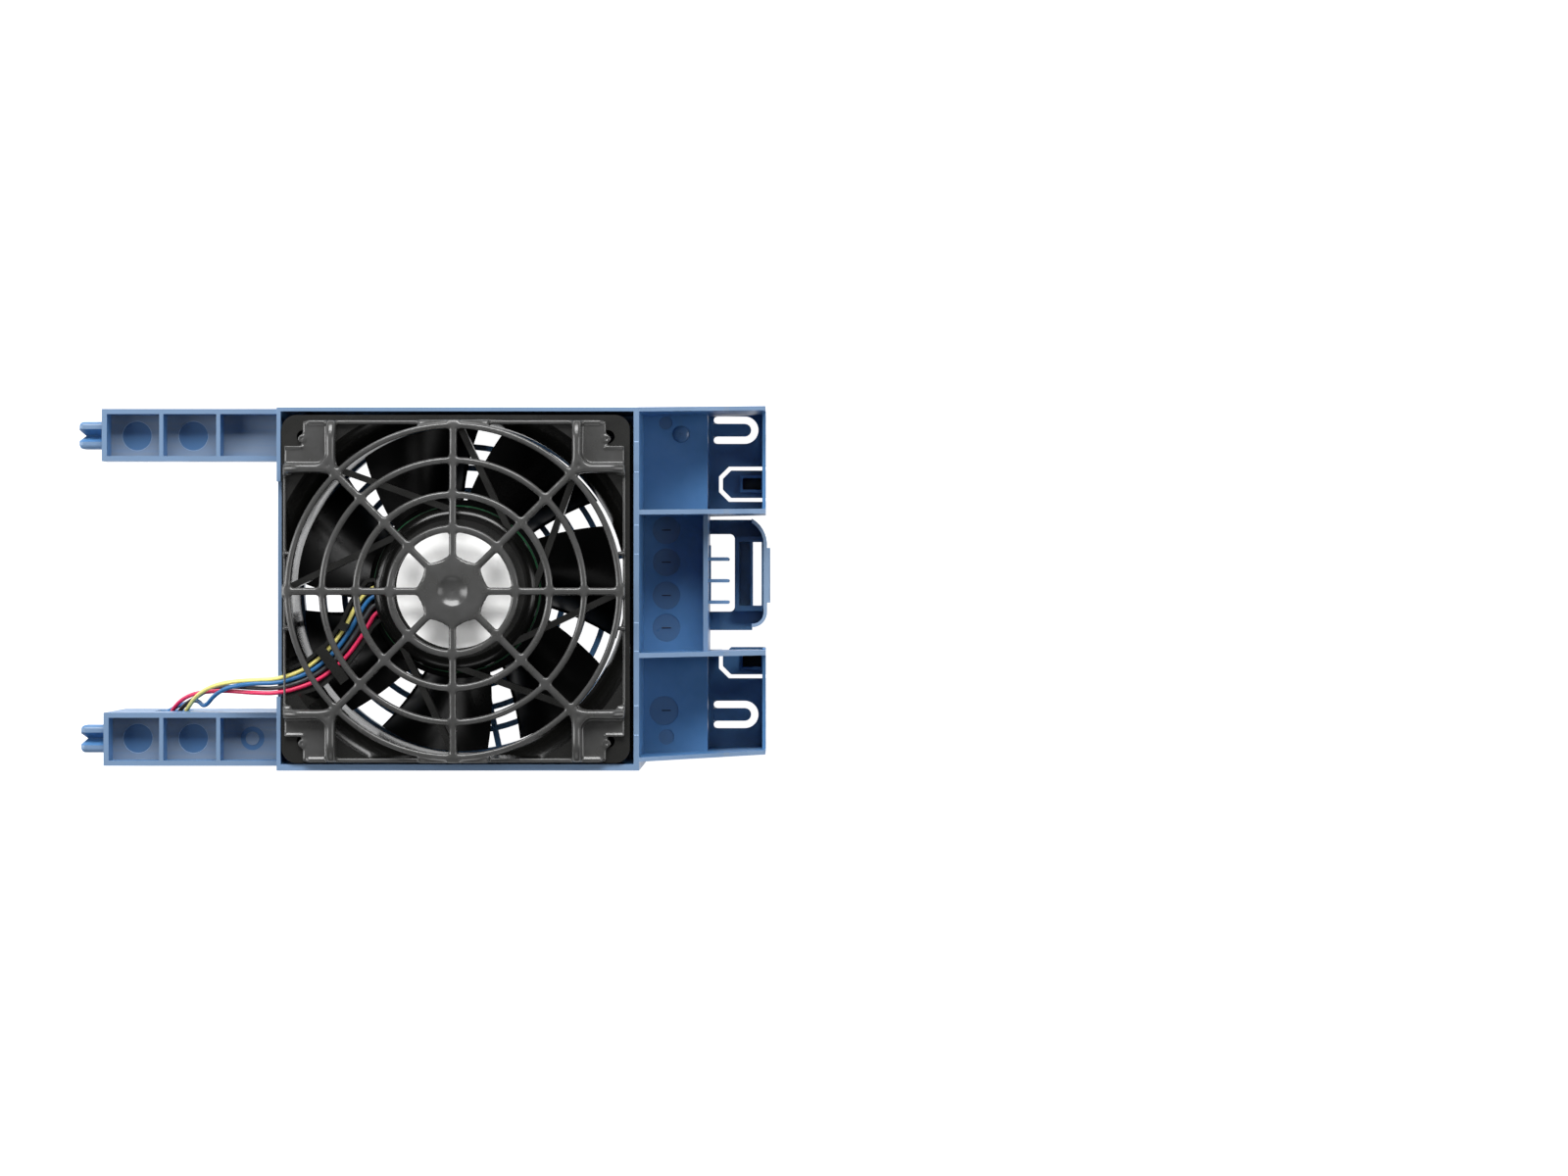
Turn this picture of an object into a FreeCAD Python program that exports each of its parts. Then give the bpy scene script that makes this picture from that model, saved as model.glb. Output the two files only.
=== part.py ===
import FreeCAD, Part
import math
import os

# Server fan module: a moulded carrier that snaps into a chassis and holds one axial fan.
# It lies on its back, with the fan's motor side up. All lengths are in millimetres.
# While it is built, x and y are measured from the fan's axis and z from the module's back.
# At the end everything moves, so that the origin is the middle of the overall box, at its base.

V = FreeCAD.Vector

# The fan
fan_size = 120.0
fan_depth = 38.0
fan_corner_radius = 5.0
fan_bore_rim = 2.0
fan_tunnel_wall = 1.6
fan_flare_reach = 7.5
fan_flare_depth = 12.0
fan_side_wall = 1.6
fan_flange_depth = 4.0
fan_hole_inset = 7.5
fan_hole_radius = 2.3
fan_post_wall = 2.2
strut_count = 8
strut_width = 2.2
strut_depth = 5.2
strut_turn = 40.0
strut_angle = 0.0
strut_root_sink = 3.0
channel_angle = 225.0
strut_set_back = 1.2
channel_floor = 1.2
channel_wall = 1.2
channel_rise = 2.6
channel_set_back = 5.2
channel_gap = 0.6
wire_tab_width = 3.0
wire_tab_thickness = 1.3
wire_strap_width = 3.6

# The motor base in the middle of the fan
base_radius = 28.5
base_shoulder_radius = 24.5
base_shoulder_drop = 3.7
base_plate = 4.0
base_skirt_wall = 1.5
base_skirt_depth = 6.6
label_radius = 20.5
label_thickness = 0.2
label_gap = 0.2
wire_exit_low = -9.5
wire_exit_high = 3.6
wire_exit_rise = 1.2
wire_exit_reach = 6.5

# The circuit board and what is on it
board_radius = 29.0
board_thickness = 1.6
board_bore_gap = 0.5
chip_length = 6.0
chip_width = 4.4
chip_height = 1.5
chip_distance = 15.0
sensor_size = 2.4
capacitor_radius = 1.6
capacitor_height = 1.9

# The rotor
blade_count = 7
blade_gap_angle = 131.0
blade_sweep = 8.0
blade_tip_gap = 1.4
blade_root_sink = 5.0
blade_thickness = 1.9
blade_tip_half_angle = 20.5
blade_root_half_angle = 23.0
blade_tip_rise = 19.0
blade_root_rise = 23.0
blade_camber = 3.2
hub_radius = 31.0
hub_wall = 2.0
hub_cap = 2.0
hub_to_rear_face = 2.8
hub_to_board = 1.6
yoke_wall = 1.2
magnet_thickness = 3.0
magnet_set_in = 2.0
magnet_rear_gap = 1.8
shaft_radius = 1.48
shaft_boss_radius = 4.2
shaft_boss_depth = 2.6
shaft_front_gap = 0.8

# Bearings, their tube and the stator
bearing_bore_radius = 1.5
bearing_radius = 4.0
bearing_width = 4.0
bearing_ring = 0.75
ball_count = 7
ball_gap = 0.02
tube_wall = 2.0
tube_spigot_depth = 1.6
rear_bearing_inset = 0.8
front_bearing_inset = 2.6
spring_wire = 0.4
clip_thickness = 0.5
clip_ring = 1.2
clip_groove_depth = 0.35
clip_gap = 0.05
clip_mouth_share = 0.8
spring_gap = 0.1
air_gap = 0.5
stator_length = 12.0
stator_front_gap = 5.0
pole_count = 4
pole_width = 7.0
pole_shoe_depth = 3.4
pole_shoe_angle = 78.0
core_ring = 4.0
insulator_thickness = 1.0
coil_thickness = 3.0
coil_gap = 0.15
coil_inner_gap = 1.2
coil_outer_gap = 1.0
coil_corner_share = 0.45

# The carrier's fan box
gap_left = 0.5
gap_right = 1.3
gap_top = 1.3
gap_bottom = 0.5
wall_left = 1.4
wall_right = 1.9
wall_top = 1.4
wall_bottom = 2.2
carrier_depth = 65.2
fan_proud = 1.0
rear_plate = 4.0
rear_opening_rim = 3.0
rear_bar_width = 2.0
rear_bar_depth = 2.0
rear_ring_radii = (27.0, 35.0, 43.0, 50.5)
rear_spoke_count = 4
rear_spoke_angle = 12.0
rear_hub_radius = 20.0
band_depth = 8.0
notch_depth = 3.8
notch_top = 37.1
notch_bottom = -37.2
slit_width = 1.4
slit_top = -19.9
slit_bottom = -26.1

# The two arms
arm_front = 55.2
arm_wall = 1.8
arm_rib = 1.4
arm_rib_places = (-103.3, -83.5)
pocket_depth = 8.5
pocket_floor = 1.7
mark_radius = 5.15
mark_depth = 0.25
small_mark_radius = 4.1
small_mark_core = 2.4
upper_arm_end = -124.0
upper_arm_top = 62.6
upper_arm_bottom = 44.4
lower_arm_end = -123.4
lower_arm_top = -43.0
lower_arm_bottom = -61.5
lower_arm_back = 10.0
tab_length = 8.5
tab_width = 9.6
tab_depth = 9.0
tab_front = 52.2
tab_groove = 4.4
tab_groove_depth = 2.6
tab_groove_wall = 0.8
tab_tip_notch = 1.6
tab_round = 1.6
wire_hole_low_x = -108.6
wire_hole_high_x = -96.4
wire_hole_low_z = 24.0
wire_hole_high_z = 37.5

# The connector in the lower arm
connector_x = -103.0
connector_y = -51.6
connector_length = 12.3
connector_width = 6.6
connector_top = 18.5
connector_flange = 1.2
connector_lip = 1.2
connector_gap = 0.1
connector_wall = 0.8
socket_depth = 6.0
shelf_height = 14.2
shelf_thickness = 1.6
shelf_reach = 3.0
contact_count = 4
contact_pitch = 2.54
contact_size = 0.64
contact_inset = 1.0

# The tray beside the fan box
tray_end = 106.7
tray_wall = 1.5
tray_end_wall = 1.2
tray_top_near = 62.7
tray_top_far = 64.4
tray_bottom_near = -59.7
tray_bottom_far = -58.3
upper_divider_near = 26.5
upper_divider_far = 27.4
lower_divider_near = -23.0
lower_divider_far = -22.5
divider_thickness = 1.7
tray_far_height = 38.2
end_wall_height = 25.5
ledge_height = 25.5
ledge_thickness = 1.6
ledge_end = 86.0
step_wall = 1.5
floor_thickness = 1.5
mid_wall_face = 86.5
mid_wall_thickness = 1.7
mid_wall_height = 40.2
step_slit_width = 2.4
step_slit_low = 18.0
step_slit_places = (59.5, 52.4)
fin_places = (10.6, 2.9, -4.7)
fin_thickness = 1.2
fin_reach = 7.3
fin_top = 32.2
fin_bottom = 14.0
fin_web = 0.6
fin_web_height = 5.0
ejector_places = (20.9, 9.5, -2.3, -13.8)
ejector_x = 71.4
ejector_radius = 5.0
ledge_marks = ((76.6, 55.0, 3.1), (71.1, 59.0, 2.4), (70.5, -43.2, 5.2), (71.4, -52.6, 2.8))

# Springs cut out of the tray by U slots
u_slot = 2.65
u_outer = 9.9
u_start = 87.7
u_end = 103.95
floor_spring_places = (57.4, -45.4)
wall_u_low = 5.0
wall_u_high = 21.0

# Latch fingers
finger_slot = 1.4
finger_start = 91.1
finger_chamfer = 3.0
finger_chamfer_growth = 0.4
finger_width = 9.9
finger_places = (37.85, -25.95)
finger_bend_height = 21.5
boss_length = 8.2
boss_width = 6.2
boss_height = 7.2
boss_wall = 1.0

# Release lever
lever_top = 25.0
lever_bottom = -14.9
lever_set_back = 3.5
lever_recess_gap = 0.1
lever_height = 26.2
window_end = 95.4
window_top = 19.8
window_bottom = -8.2
window_radius = 1.8
thumb_face = 107.1
thumb_thickness = 1.2
thumb_start = 101.7
thumb_top_radius = 10.2
thumb_top_straight = 16.0
thumb_bottom = -13.6
thumb_bottom_radius = 5.2
pad_proud = 1.2
pad_top = 14.6
pad_bottom = -4.9
pad_low = 12.0
pad_ridge_count = 5
pad_ridge = 0.8
pad_ridge_proud = 0.4
lever_frame_start = 95.5
lever_frame_top = 18.9
lever_frame_bottom = -8.0
lever_frame_height = 7.2
lever_frame_wall = 1.6
lever_slot_start = 102.0
lever_slot_end = 105.1
lever_slot_top = 16.9
lever_slot_bottom = -6.0
lever_slot_height = 12.0

# Finger guard
guard_play_x = -0.4
guard_play_y = -0.8
guard_inset = 1.0
guard_rim = 2.6
guard_rim_height = 1.5
guard_height = 9.0
guard_dome = 2.7
guard_bar = 1.9
guard_spoke_width = 2.6
guard_spoke_count = 8
guard_hub_radius = 11.5
guard_hub_thickness = 2.2
guard_dimple_radius = 4.9
guard_dimple_depth = 1.0
guard_inner_rings = (21.5, 33.2, 45.0)
guard_ring_inset = 2.0
guard_ring_widths = (2.6, 2.4, 2.2, 2.0)
guard_corner_rib = 2.9
guard_rib_place = 42.3
guard_corner_floor = 1.4
guard_post_radius = 1.3
guard_post_length = 6.0
guard_bridge_half = 12.0
guard_clip_places = (40.5, 13.0, -12.8, -40.0)
guard_clip_width = 2.6
guard_clip_depth = 4.0
guard_clip_height = 3.0

# Wires
wire_diameter = 1.5
wire_entry_reach = 6.8
wire_turn_reach = 2.0
wire_turn_drop = 2.6
wire_down_drop = 7.2
bend_share = 0.45

# How far a cutting tool runs past what it cuts
past = 1.0

# Edges count as parallel above the first share, and as at one place within the second distance
parallel_share = 0.99
same_place = 0.01

# Places worked out from the values above
fan_half = fan_size / 2
fan_bore_radius = fan_half - fan_bore_rim
fan_flare_radius = fan_bore_radius + fan_flare_reach
fan_hole_spacing = fan_size - 2 * fan_hole_inset
blade_tip_radius = fan_bore_radius - blade_tip_gap
rear_opening_radius = fan_half - rear_opening_rim
guard_edge = fan_half - guard_inset
guard_ring_radii = guard_inner_rings + (guard_edge - guard_ring_inset,)
lever_hinge = mid_wall_face + lever_set_back
box_left = -fan_half - gap_left - wall_left
box_right = fan_half + gap_right + wall_right
box_top = fan_half + gap_top + wall_top
box_bottom = -fan_half - gap_bottom - wall_bottom
fan_front = carrier_depth + fan_proud
fan_rear = fan_front - fan_depth
board_front = fan_front - base_skirt_depth
board_rear = board_front - board_thickness
hub_rear = fan_rear + hub_to_rear_face
hub_front = board_rear - hub_to_board
yoke_radius = hub_radius - hub_wall
yoke_inner = yoke_radius - yoke_wall
yoke_rear = hub_rear + hub_cap
magnet_inner = yoke_inner - magnet_thickness
tube_radius = bearing_radius + tube_wall
tube_front = fan_front - base_plate + tube_spigot_depth
core_front = board_rear - stator_front_gap
core_rear = core_front - stator_length
tube_rear = core_rear - insulator_thickness
core_radius = magnet_inner - air_gap
arm_pocket_floor = arm_front - pocket_depth


def box(x0, x1, y0, y1, z0, z1):
    return Part.makeBox(x1 - x0, y1 - y0, z1 - z0, V(x0, y0, z0))


def disc(radius, z0, z1, x=0.0, y=0.0):
    return Part.makeCylinder(radius, z1 - z0, V(x, y, z0))


def ring(outer, inner, z0, z1, x=0.0, y=0.0):
    return disc(outer, z0, z1, x, y).cut(disc(inner, z0 - past, z1 + past, x, y))


def join(shapes):
    return shapes[0].multiFuse(shapes[1:]).removeSplitter()


def solid_from(points, push):
    # A closed polygon through the points, pushed along a straight line.
    wire = Part.makePolygon(points + [points[0]])
    return Part.Face(wire).extrude(push)


def plan_solid(points, z0, z1):
    return solid_from([V(x, y, z0) for x, y in points], V(0, 0, z1 - z0))


def side_solid(points, y0, y1):
    return solid_from([V(x, y0, z) for x, z in points], V(0, y1 - y0, 0))


def end_solid(points, x0, x1):
    return solid_from([V(x0, y, z) for y, z in points], V(x1 - x0, 0, 0))


def upright_edges(solid):
    return [e for e in solid.Edges if abs(e.tangentAt(e.FirstParameter).z) > parallel_share]


def rounded_box(x0, x1, y0, y1, z0, z1, radius):
    solid = box(x0, x1, y0, y1, z0, z1)
    return solid.makeFillet(radius, upright_edges(solid))


def turned(shape, angle, x=0.0, y=0.0):
    copy = shape.copy()
    copy.rotate(V(x, y, 0), V(0, 0, 1), angle)
    return copy


def polar(radius, angle):
    return V(radius * math.cos(math.radians(angle)), radius * math.sin(math.radians(angle)), 0)


def bar_between(start, end, width, z0, z1):
    # A straight upright bar between two points of the plan.
    length = (end - start).Length
    bar = box(0, length, -width / 2, width / 2, z0, z1)
    bar.rotate(V(0, 0, 0), V(0, 0, 1), math.degrees(math.atan2(end.y - start.y, end.x - start.x)))
    bar.translate(V(start.x, start.y, 0))
    return bar


def wall_path(points, width, z0, z1):
    # An upright wall along a run of points of the plan, with a round post at each bend.
    pieces = []
    for (xa, ya), (xb, yb) in zip(points[:-1], points[1:]):
        pieces.append(bar_between(V(xa, ya, 0), V(xb, yb, 0), width, z0, z1))
    for x, y in points[1:-1]:
        pieces.append(disc(width / 2, z0, z1, x, y))
    return join(pieces)


# Fan housing


def wire_channel_sides():
    # The two sides of the wire channel in the plan, from the motor base out to the housing's edge.
    edge = -fan_half - past
    left = [(-26.0, 3.6), (-31.0, 2.8), (-36.4, -4.2), (-39.6, -11.5), (-45.2, -19.4), (-52.2, -25.2),
            (edge, -29.0)]
    right = [(-25.0, -9.2), (-29.2, -13.4), (-32.4, -19.0), (-37.8, -26.2), (-47.6, -34.2), (edge, -38.3)]
    return left, right


def channel_space():
    # The open space of the channel, from its floor to past the fan's face.
    left, right = wire_channel_sides()
    return plan_solid(left + right[::-1], fan_front - channel_set_back, fan_front + past)


def flare(extra, half):
    # The cone in which the bore opens towards the fan's face, kept inside a square.
    low = fan_front - fan_flare_depth
    slope = fan_flare_reach / fan_flare_depth
    wide = fan_flare_radius + extra + slope * past
    cone = Part.makeCone(fan_bore_radius + extra, wide, fan_flare_depth + past, V(0, 0, low))
    square = rounded_box(-half, half, -half, half, low, fan_front + past, fan_corner_radius)
    return cone.common(square)


def wire_channel():
    left, right = wire_channel_sides()
    floor_top = fan_front - channel_set_back
    floor_low = floor_top - channel_floor
    floor = plan_solid(left + right[::-1], floor_low, floor_top)
    inner = rounded_box(-fan_half, fan_half, -fan_half, fan_half, floor_low - past, fan_front + past,
                        fan_corner_radius)
    walls = [wall_path(side, channel_wall, floor_low, floor_top + channel_rise) for side in (left, right)]
    floor = floor.cut(disc(board_radius + channel_gap, floor_low - past, fan_front + past))
    shape = join([floor] + walls).common(inner)
    return shape.cut(disc(base_radius - base_skirt_wall, floor_low - past, fan_front + past))


def wire_tabs():
    # A strap across the channel and a small tab on its side keep the wires in.
    low = fan_front - channel_set_back + channel_rise - past / 5
    high = low + wire_tab_thickness
    tab_bar = bar_between(V(-40.4, -12.2, 0), V(-37.6, -13.6, 0), wire_tab_width, low, high)
    strap = bar_between(V(-47.4, -20.2, 0), V(-38.4, -32.0, 0), wire_strap_width, low, high)
    return [tab_bar, strap]


def strut(angle):
    # It starts inside the motor base and runs on past the bore into the flare's wall.
    low = fan_front - strut_set_back - strut_depth
    inner = polar(base_radius - base_skirt_wall / 2, angle - strut_turn)
    outer = polar(fan_bore_radius + fan_tunnel_wall / 2, angle)
    along = (outer - inner).normalize()
    return bar_between(inner - along * strut_root_sink, outer + along * (fan_flare_reach + fan_tunnel_wall),
                       strut_width, low, fan_front - strut_set_back)


def struts():
    bars = []
    for index in range(strut_count):
        angle = strut_angle + index * 360 / strut_count
        if abs(angle - channel_angle) > past:
            bars.append(strut(angle))
    cavity = disc(base_radius - base_skirt_wall, board_rear, fan_front - base_plate)
    return join(bars).common(flare(fan_tunnel_wall / 2, fan_half - fan_side_wall / 2)).cut(cavity)


def motor_base():
    profile = [
        V(0, 0, fan_front),
        V(base_shoulder_radius, 0, fan_front),
        V(base_radius, 0, fan_front - base_shoulder_drop),
        V(base_radius, 0, board_front),
        V(base_radius - base_skirt_wall, 0, board_front),
        V(base_radius - base_skirt_wall, 0, fan_front - base_plate),
        V(0, 0, fan_front - base_plate),
    ]
    face = Part.Face(Part.makePolygon(profile + [profile[0]]))
    solid = face.revolve(V(0, 0, 0), V(0, 0, 1), 360)
    recess = disc(label_radius + label_gap, fan_front - label_thickness, fan_front + past)
    socket = disc(tube_radius, fan_front - base_plate - past, tube_front)
    return solid.cut(recess).cut(socket)


def wire_exit():
    # The way out of the motor base for the wires, under its rim.
    high = fan_front - base_plate + wire_exit_rise
    return box(-base_radius - past, -base_radius + wire_exit_reach, wire_exit_low, wire_exit_high,
               board_front - past, high)


def hole_centres():
    reach = fan_hole_spacing / 2
    return [(x, y) for x in (-reach, reach) for y in (-reach, reach)]


def make_fan_housing():
    half = fan_half
    front = rounded_box(-half, half, -half, half, fan_front - fan_flange_depth, fan_front,
                        fan_corner_radius)
    rear = rounded_box(-half, half, -half, half, fan_rear, fan_rear + fan_flange_depth, fan_corner_radius)
    tunnel = disc(fan_bore_radius + fan_tunnel_wall, fan_rear, fan_front)
    shell = [front, rear, tunnel]
    for x, y in hole_centres():
        shell.append(disc(fan_hole_radius + fan_post_wall, fan_rear, fan_front, x, y))
    shell.append(flare(fan_tunnel_wall, half).common(box(-half, half, -half, half, fan_rear, fan_front)))
    body = join(shell).cut(disc(fan_bore_radius, fan_rear - past, fan_front + past))
    body = body.cut(flare(0, half - fan_side_wall))
    for x, y in hole_centres():
        body = body.cut(disc(fan_hole_radius, fan_rear - past, fan_front + past, x, y))
    pieces = [body.cut(channel_space()), wire_channel(), motor_base(), struts()]
    return join(pieces).cut(wire_exit()).fuse(wire_tabs())


# Rotor


def blade_section(distance, half_width, rise, tilt_centre):
    # A thin cambered section in the plane square to the blade's middle line.
    normal_z = half_width / math.hypot(half_width, rise / 2)
    normal_y = rise / 2 / math.hypot(half_width, rise / 2)
    start = V(distance, -half_width, tilt_centre - rise / 2)
    end = V(distance, half_width, tilt_centre + rise / 2)
    low = V(distance, -normal_y * blade_camber, tilt_centre + normal_z * blade_camber)
    high_gap = blade_camber + blade_thickness
    high = V(distance, -normal_y * high_gap, tilt_centre + normal_z * high_gap)
    under = Part.Arc(start, low, end).toShape()
    over = Part.Arc(end, high, start).toShape()
    return Part.Wire([under, over])


def blade():
    # The root is turned ahead of the tip by the sweep, so the gap between two blades is bent.
    middle = (hub_rear + hub_front) / 2 - blade_camber
    root_distance = hub_radius - blade_root_sink
    tip_distance = blade_tip_radius + past
    root_half = hub_radius * math.sin(math.radians(blade_root_half_angle))
    tip_half = blade_tip_radius * math.sin(math.radians(blade_tip_half_angle))
    root = blade_section(root_distance, root_half, blade_root_rise, middle)
    root.rotate(V(0, 0, 0), V(0, 0, 1), blade_sweep)
    tip = blade_section(tip_distance, tip_half, blade_tip_rise, middle)
    solid = Part.makeLoft([root, tip], True, True)
    swept = ring(blade_tip_radius, hub_radius - hub_wall / 2, hub_rear, hub_front)
    return solid.common(swept)


def make_impeller():
    cap = disc(hub_radius, hub_rear, hub_front)
    inside = disc(yoke_radius, yoke_rear, hub_front + past)
    hub = cap.cut(inside)
    first = blade()
    pitch = 360 / blade_count
    blades = [turned(first, blade_gap_angle + pitch * (index + 0.5)) for index in range(blade_count)]
    return join([hub] + blades)


def make_rotor_yoke():
    cup = disc(yoke_radius, yoke_rear, hub_front - magnet_set_in / 2)
    inside = disc(yoke_inner, yoke_rear + yoke_wall, hub_front + past)
    boss = disc(shaft_boss_radius, yoke_rear, yoke_rear + shaft_boss_depth)
    return cup.cut(inside).fuse(boss).cut(disc(shaft_radius, yoke_rear - past, hub_front))


def make_rotor_magnet():
    return ring(yoke_inner, magnet_inner, yoke_rear + yoke_wall + magnet_rear_gap,
                hub_front - magnet_set_in)


def shaft_front():
    return tube_front - shaft_front_gap


def clip_low():
    return tube_front - front_bearing_inset + clip_gap


def make_rotor_shaft():
    rod = disc(shaft_radius, yoke_rear, shaft_front())
    groove = ring(shaft_radius + past, shaft_radius - clip_groove_depth, clip_low(),
                  clip_low() + clip_thickness)
    return rod.cut(groove)


def make_retaining_ring():
    inner = shaft_radius - clip_groove_depth
    mouth = inner * clip_mouth_share
    clip = ring(inner + clip_ring, inner, clip_low(), clip_low() + clip_thickness)
    way_in = box(0, inner + clip_ring + past, -mouth, mouth, clip_low() - past, clip_low() + past * 2)
    return clip.cut(way_in)


# Stator


def make_bearing_tube():
    tube = ring(tube_radius, bearing_radius, tube_rear, tube_front)
    low = tube_rear + rear_bearing_inset + bearing_width
    high = tube_front - front_bearing_inset - bearing_width
    shoulder = ring(bearing_radius, bearing_radius - bearing_ring, low, high)
    return join([tube, shoulder])


def bearing(low):
    high = low + bearing_width
    outer = ring(bearing_radius, bearing_radius - bearing_ring, low, high)
    inner = ring(bearing_bore_radius + bearing_ring / 2, bearing_bore_radius, low, high)
    space = (bearing_radius - bearing_ring) - (bearing_bore_radius + bearing_ring / 2)
    ball_radius = space / 2 - ball_gap
    track = bearing_bore_radius + bearing_ring / 2 + space / 2
    solids = [outer, inner]
    for index in range(ball_count):
        centre = polar(track, index * 360 / ball_count)
        solids.append(Part.makeSphere(ball_radius, V(centre.x, centre.y, (low + high) / 2)))
    return Part.makeCompound(solids)


def make_bearing_rear():
    return bearing(tube_rear + rear_bearing_inset)


def make_bearing_front():
    return bearing(tube_front - front_bearing_inset - bearing_width)


def make_preload_spring():
    # Stands between the yoke's boss and the rear bearing's inner ring, as a closed sleeve of the coil's size.
    low = yoke_rear + shaft_boss_depth
    high = tube_rear + rear_bearing_inset
    inner = bearing_bore_radius + spring_gap
    return ring(inner + spring_wire, inner, low, high)


def pole_piece(z0, z1, shoe_depth):
    centre = ring(tube_radius + core_ring, tube_radius, z0, z1)
    solids = [centre]
    shoe = ring(core_radius, core_radius - shoe_depth, z0, z1)
    half = math.radians(pole_shoe_angle / 2)
    far = core_radius * 2
    wedge_points = [(0, 0), (far * math.cos(half), -far * math.sin(half)),
                    (far * math.cos(half), far * math.sin(half))]
    wedge = plan_solid(wedge_points, z0, z1)
    sector = shoe.common(wedge)
    tooth = box(tube_radius + core_ring / 2, core_radius - shoe_depth / 2, -pole_width / 2,
                pole_width / 2, z0, z1)
    for index in range(pole_count):
        angle = index * 360 / pole_count
        solids.append(turned(tooth, angle))
        solids.append(turned(sector, angle))
    return join(solids)


def make_stator_core():
    return pole_piece(core_rear, core_front, pole_shoe_depth)


def make_stator_insulators():
    front = pole_piece(core_front, core_front + insulator_thickness, pole_shoe_depth / 2)
    rear = pole_piece(core_rear - insulator_thickness, core_rear, pole_shoe_depth / 2)
    return Part.makeCompound([front, rear])


def coil():
    near = tube_radius + core_ring + coil_inner_gap
    far = core_radius - pole_shoe_depth - coil_outer_gap
    half = pole_width / 2 + coil_gap
    low = core_rear - insulator_thickness - coil_gap
    high = core_front + insulator_thickness + coil_gap
    wind = coil_thickness
    outside = box(near, far, -half - wind, half + wind, low - wind / 2, high + wind / 2)
    edges = [e for e in outside.Edges if abs(e.tangentAt(e.FirstParameter).x) > parallel_share]
    outside = outside.makeFillet(wind * coil_corner_share, edges)
    inside = box(near - past, far + past, -half, half, low, high)
    near_limit = disc(core_radius - pole_shoe_depth - coil_gap, low - wind, high + wind)
    return outside.cut(inside).common(near_limit)


def make_stator_coils():
    first = coil()
    return Part.makeCompound([turned(first, index * 360 / pole_count) for index in range(pole_count)])


def make_circuit_board():
    return ring(board_radius, tube_radius + board_bore_gap, board_rear, board_front)


def make_board_components():
    low = board_front
    chip_a = box(chip_distance, chip_distance + chip_width, -chip_length / 2, chip_length / 2, low,
                 low + chip_height)
    chip_b = turned(chip_a, 90)
    start = chip_distance - sensor_size
    sensor = turned(box(start, start + sensor_size, 0, sensor_size, low, low + chip_height), 225)
    cap_a = disc(capacitor_radius, low, low + capacitor_height, chip_distance, chip_distance / 2)
    cap_b = turned(cap_a, -72)
    return Part.makeCompound([chip_a, chip_b, sensor, cap_a, cap_b])


def make_motor_label():
    return disc(label_radius, fan_front - label_thickness, fan_front)


# Carrier


def fan_box_walls():
    inner_top = box_top - wall_top
    inner_bottom = box_bottom + wall_bottom
    top = box(box_left, box_right, inner_top, box_top, 0, carrier_depth)
    bottom = box(box_left, box_right, box_bottom, inner_bottom, 0, carrier_depth)
    right = box(box_right - wall_right, box_right, box_bottom, box_top, 0, carrier_depth)
    left_inner = box_left + wall_left
    left_high = box(box_left, left_inner, upper_arm_bottom, box_top, 0, carrier_depth)
    left_low = box(box_left, left_inner, box_bottom, lower_arm_top, 0, carrier_depth)
    band = box(box_left, left_inner, box_bottom, box_top, carrier_depth - band_depth, carrier_depth)
    notch = box(box_left - past, left_inner + past, notch_bottom, notch_top,
                carrier_depth - notch_depth, carrier_depth + past)
    return [top, bottom, right, left_high, left_low, band.cut(notch)]


def rear_wall():
    # The plate that the fan sits on, with its round opening and a slit beside the right wall.
    low = fan_rear - rear_plate
    plate = box(-fan_half, box_right - past / 2, box_bottom + past / 2, box_top - past / 2, low, fan_rear)
    corner_a = box(box_left, -fan_half + past, upper_arm_bottom, box_top, low, fan_rear)
    corner_b = box(box_left, -fan_half + past, box_bottom, lower_arm_top, low, fan_rear)
    plate = join([plate, corner_a, corner_b])
    plate = plate.cut(disc(rear_opening_radius, low - past, fan_rear + past))
    wall_face = box_right - wall_right
    slit = box(wall_face - slit_width, wall_face, slit_bottom, slit_top, low - past, fan_rear + past)
    return plate.cut(slit)


def rear_guard():
    low = fan_rear - rear_plate
    high = low + rear_bar_depth
    bars = []
    for radius in rear_ring_radii:
        bars.append(ring(radius + rear_bar_width / 2, radius - rear_bar_width / 2, low, high))
    bars.append(disc(rear_hub_radius, low, high))
    reach = rear_opening_radius + rear_bar_width
    for index in range(rear_spoke_count):
        spoke = box(rear_hub_radius / 2, reach, -rear_bar_width / 2, rear_bar_width / 2, low, high)
        bars.append(turned(spoke, rear_spoke_angle + index * 360 / rear_spoke_count))
    return bars


def tab(end, centre):
    # An end tab: two rounded rails with a groove between them and a notch in the tip.
    low = tab_front - tab_depth
    half = tab_width / 2
    block = box(end - tab_length, end + arm_wall / 2, centre - half, centre + half, low, tab_front)
    edges = []
    for edge in block.Edges:
        middle = edge.CenterOfMass
        along = abs(edge.tangentAt(edge.FirstParameter).x) > parallel_share
        at_tip = middle.x < end - tab_length + same_place
        if along or at_tip:
            edges.append(edge)
    block = block.makeFillet(tab_round, edges)
    groove_half = tab_groove / 2
    groove = end_solid([(centre - groove_half, tab_front + past),
                        (centre - groove_half, tab_front - tab_groove_wall),
                        (centre, tab_front - tab_groove_depth),
                        (centre + groove_half, tab_front - tab_groove_wall),
                        (centre + groove_half, tab_front + past)], end - tab_length - past, end)
    notch = plan_solid([(end - tab_length - past, centre - groove_half - past),
                        (end - tab_length + tab_tip_notch, centre),
                        (end - tab_length - past, centre + groove_half + past)], low - past,
                        tab_front + past)
    return block.cut(groove).cut(notch)


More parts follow.
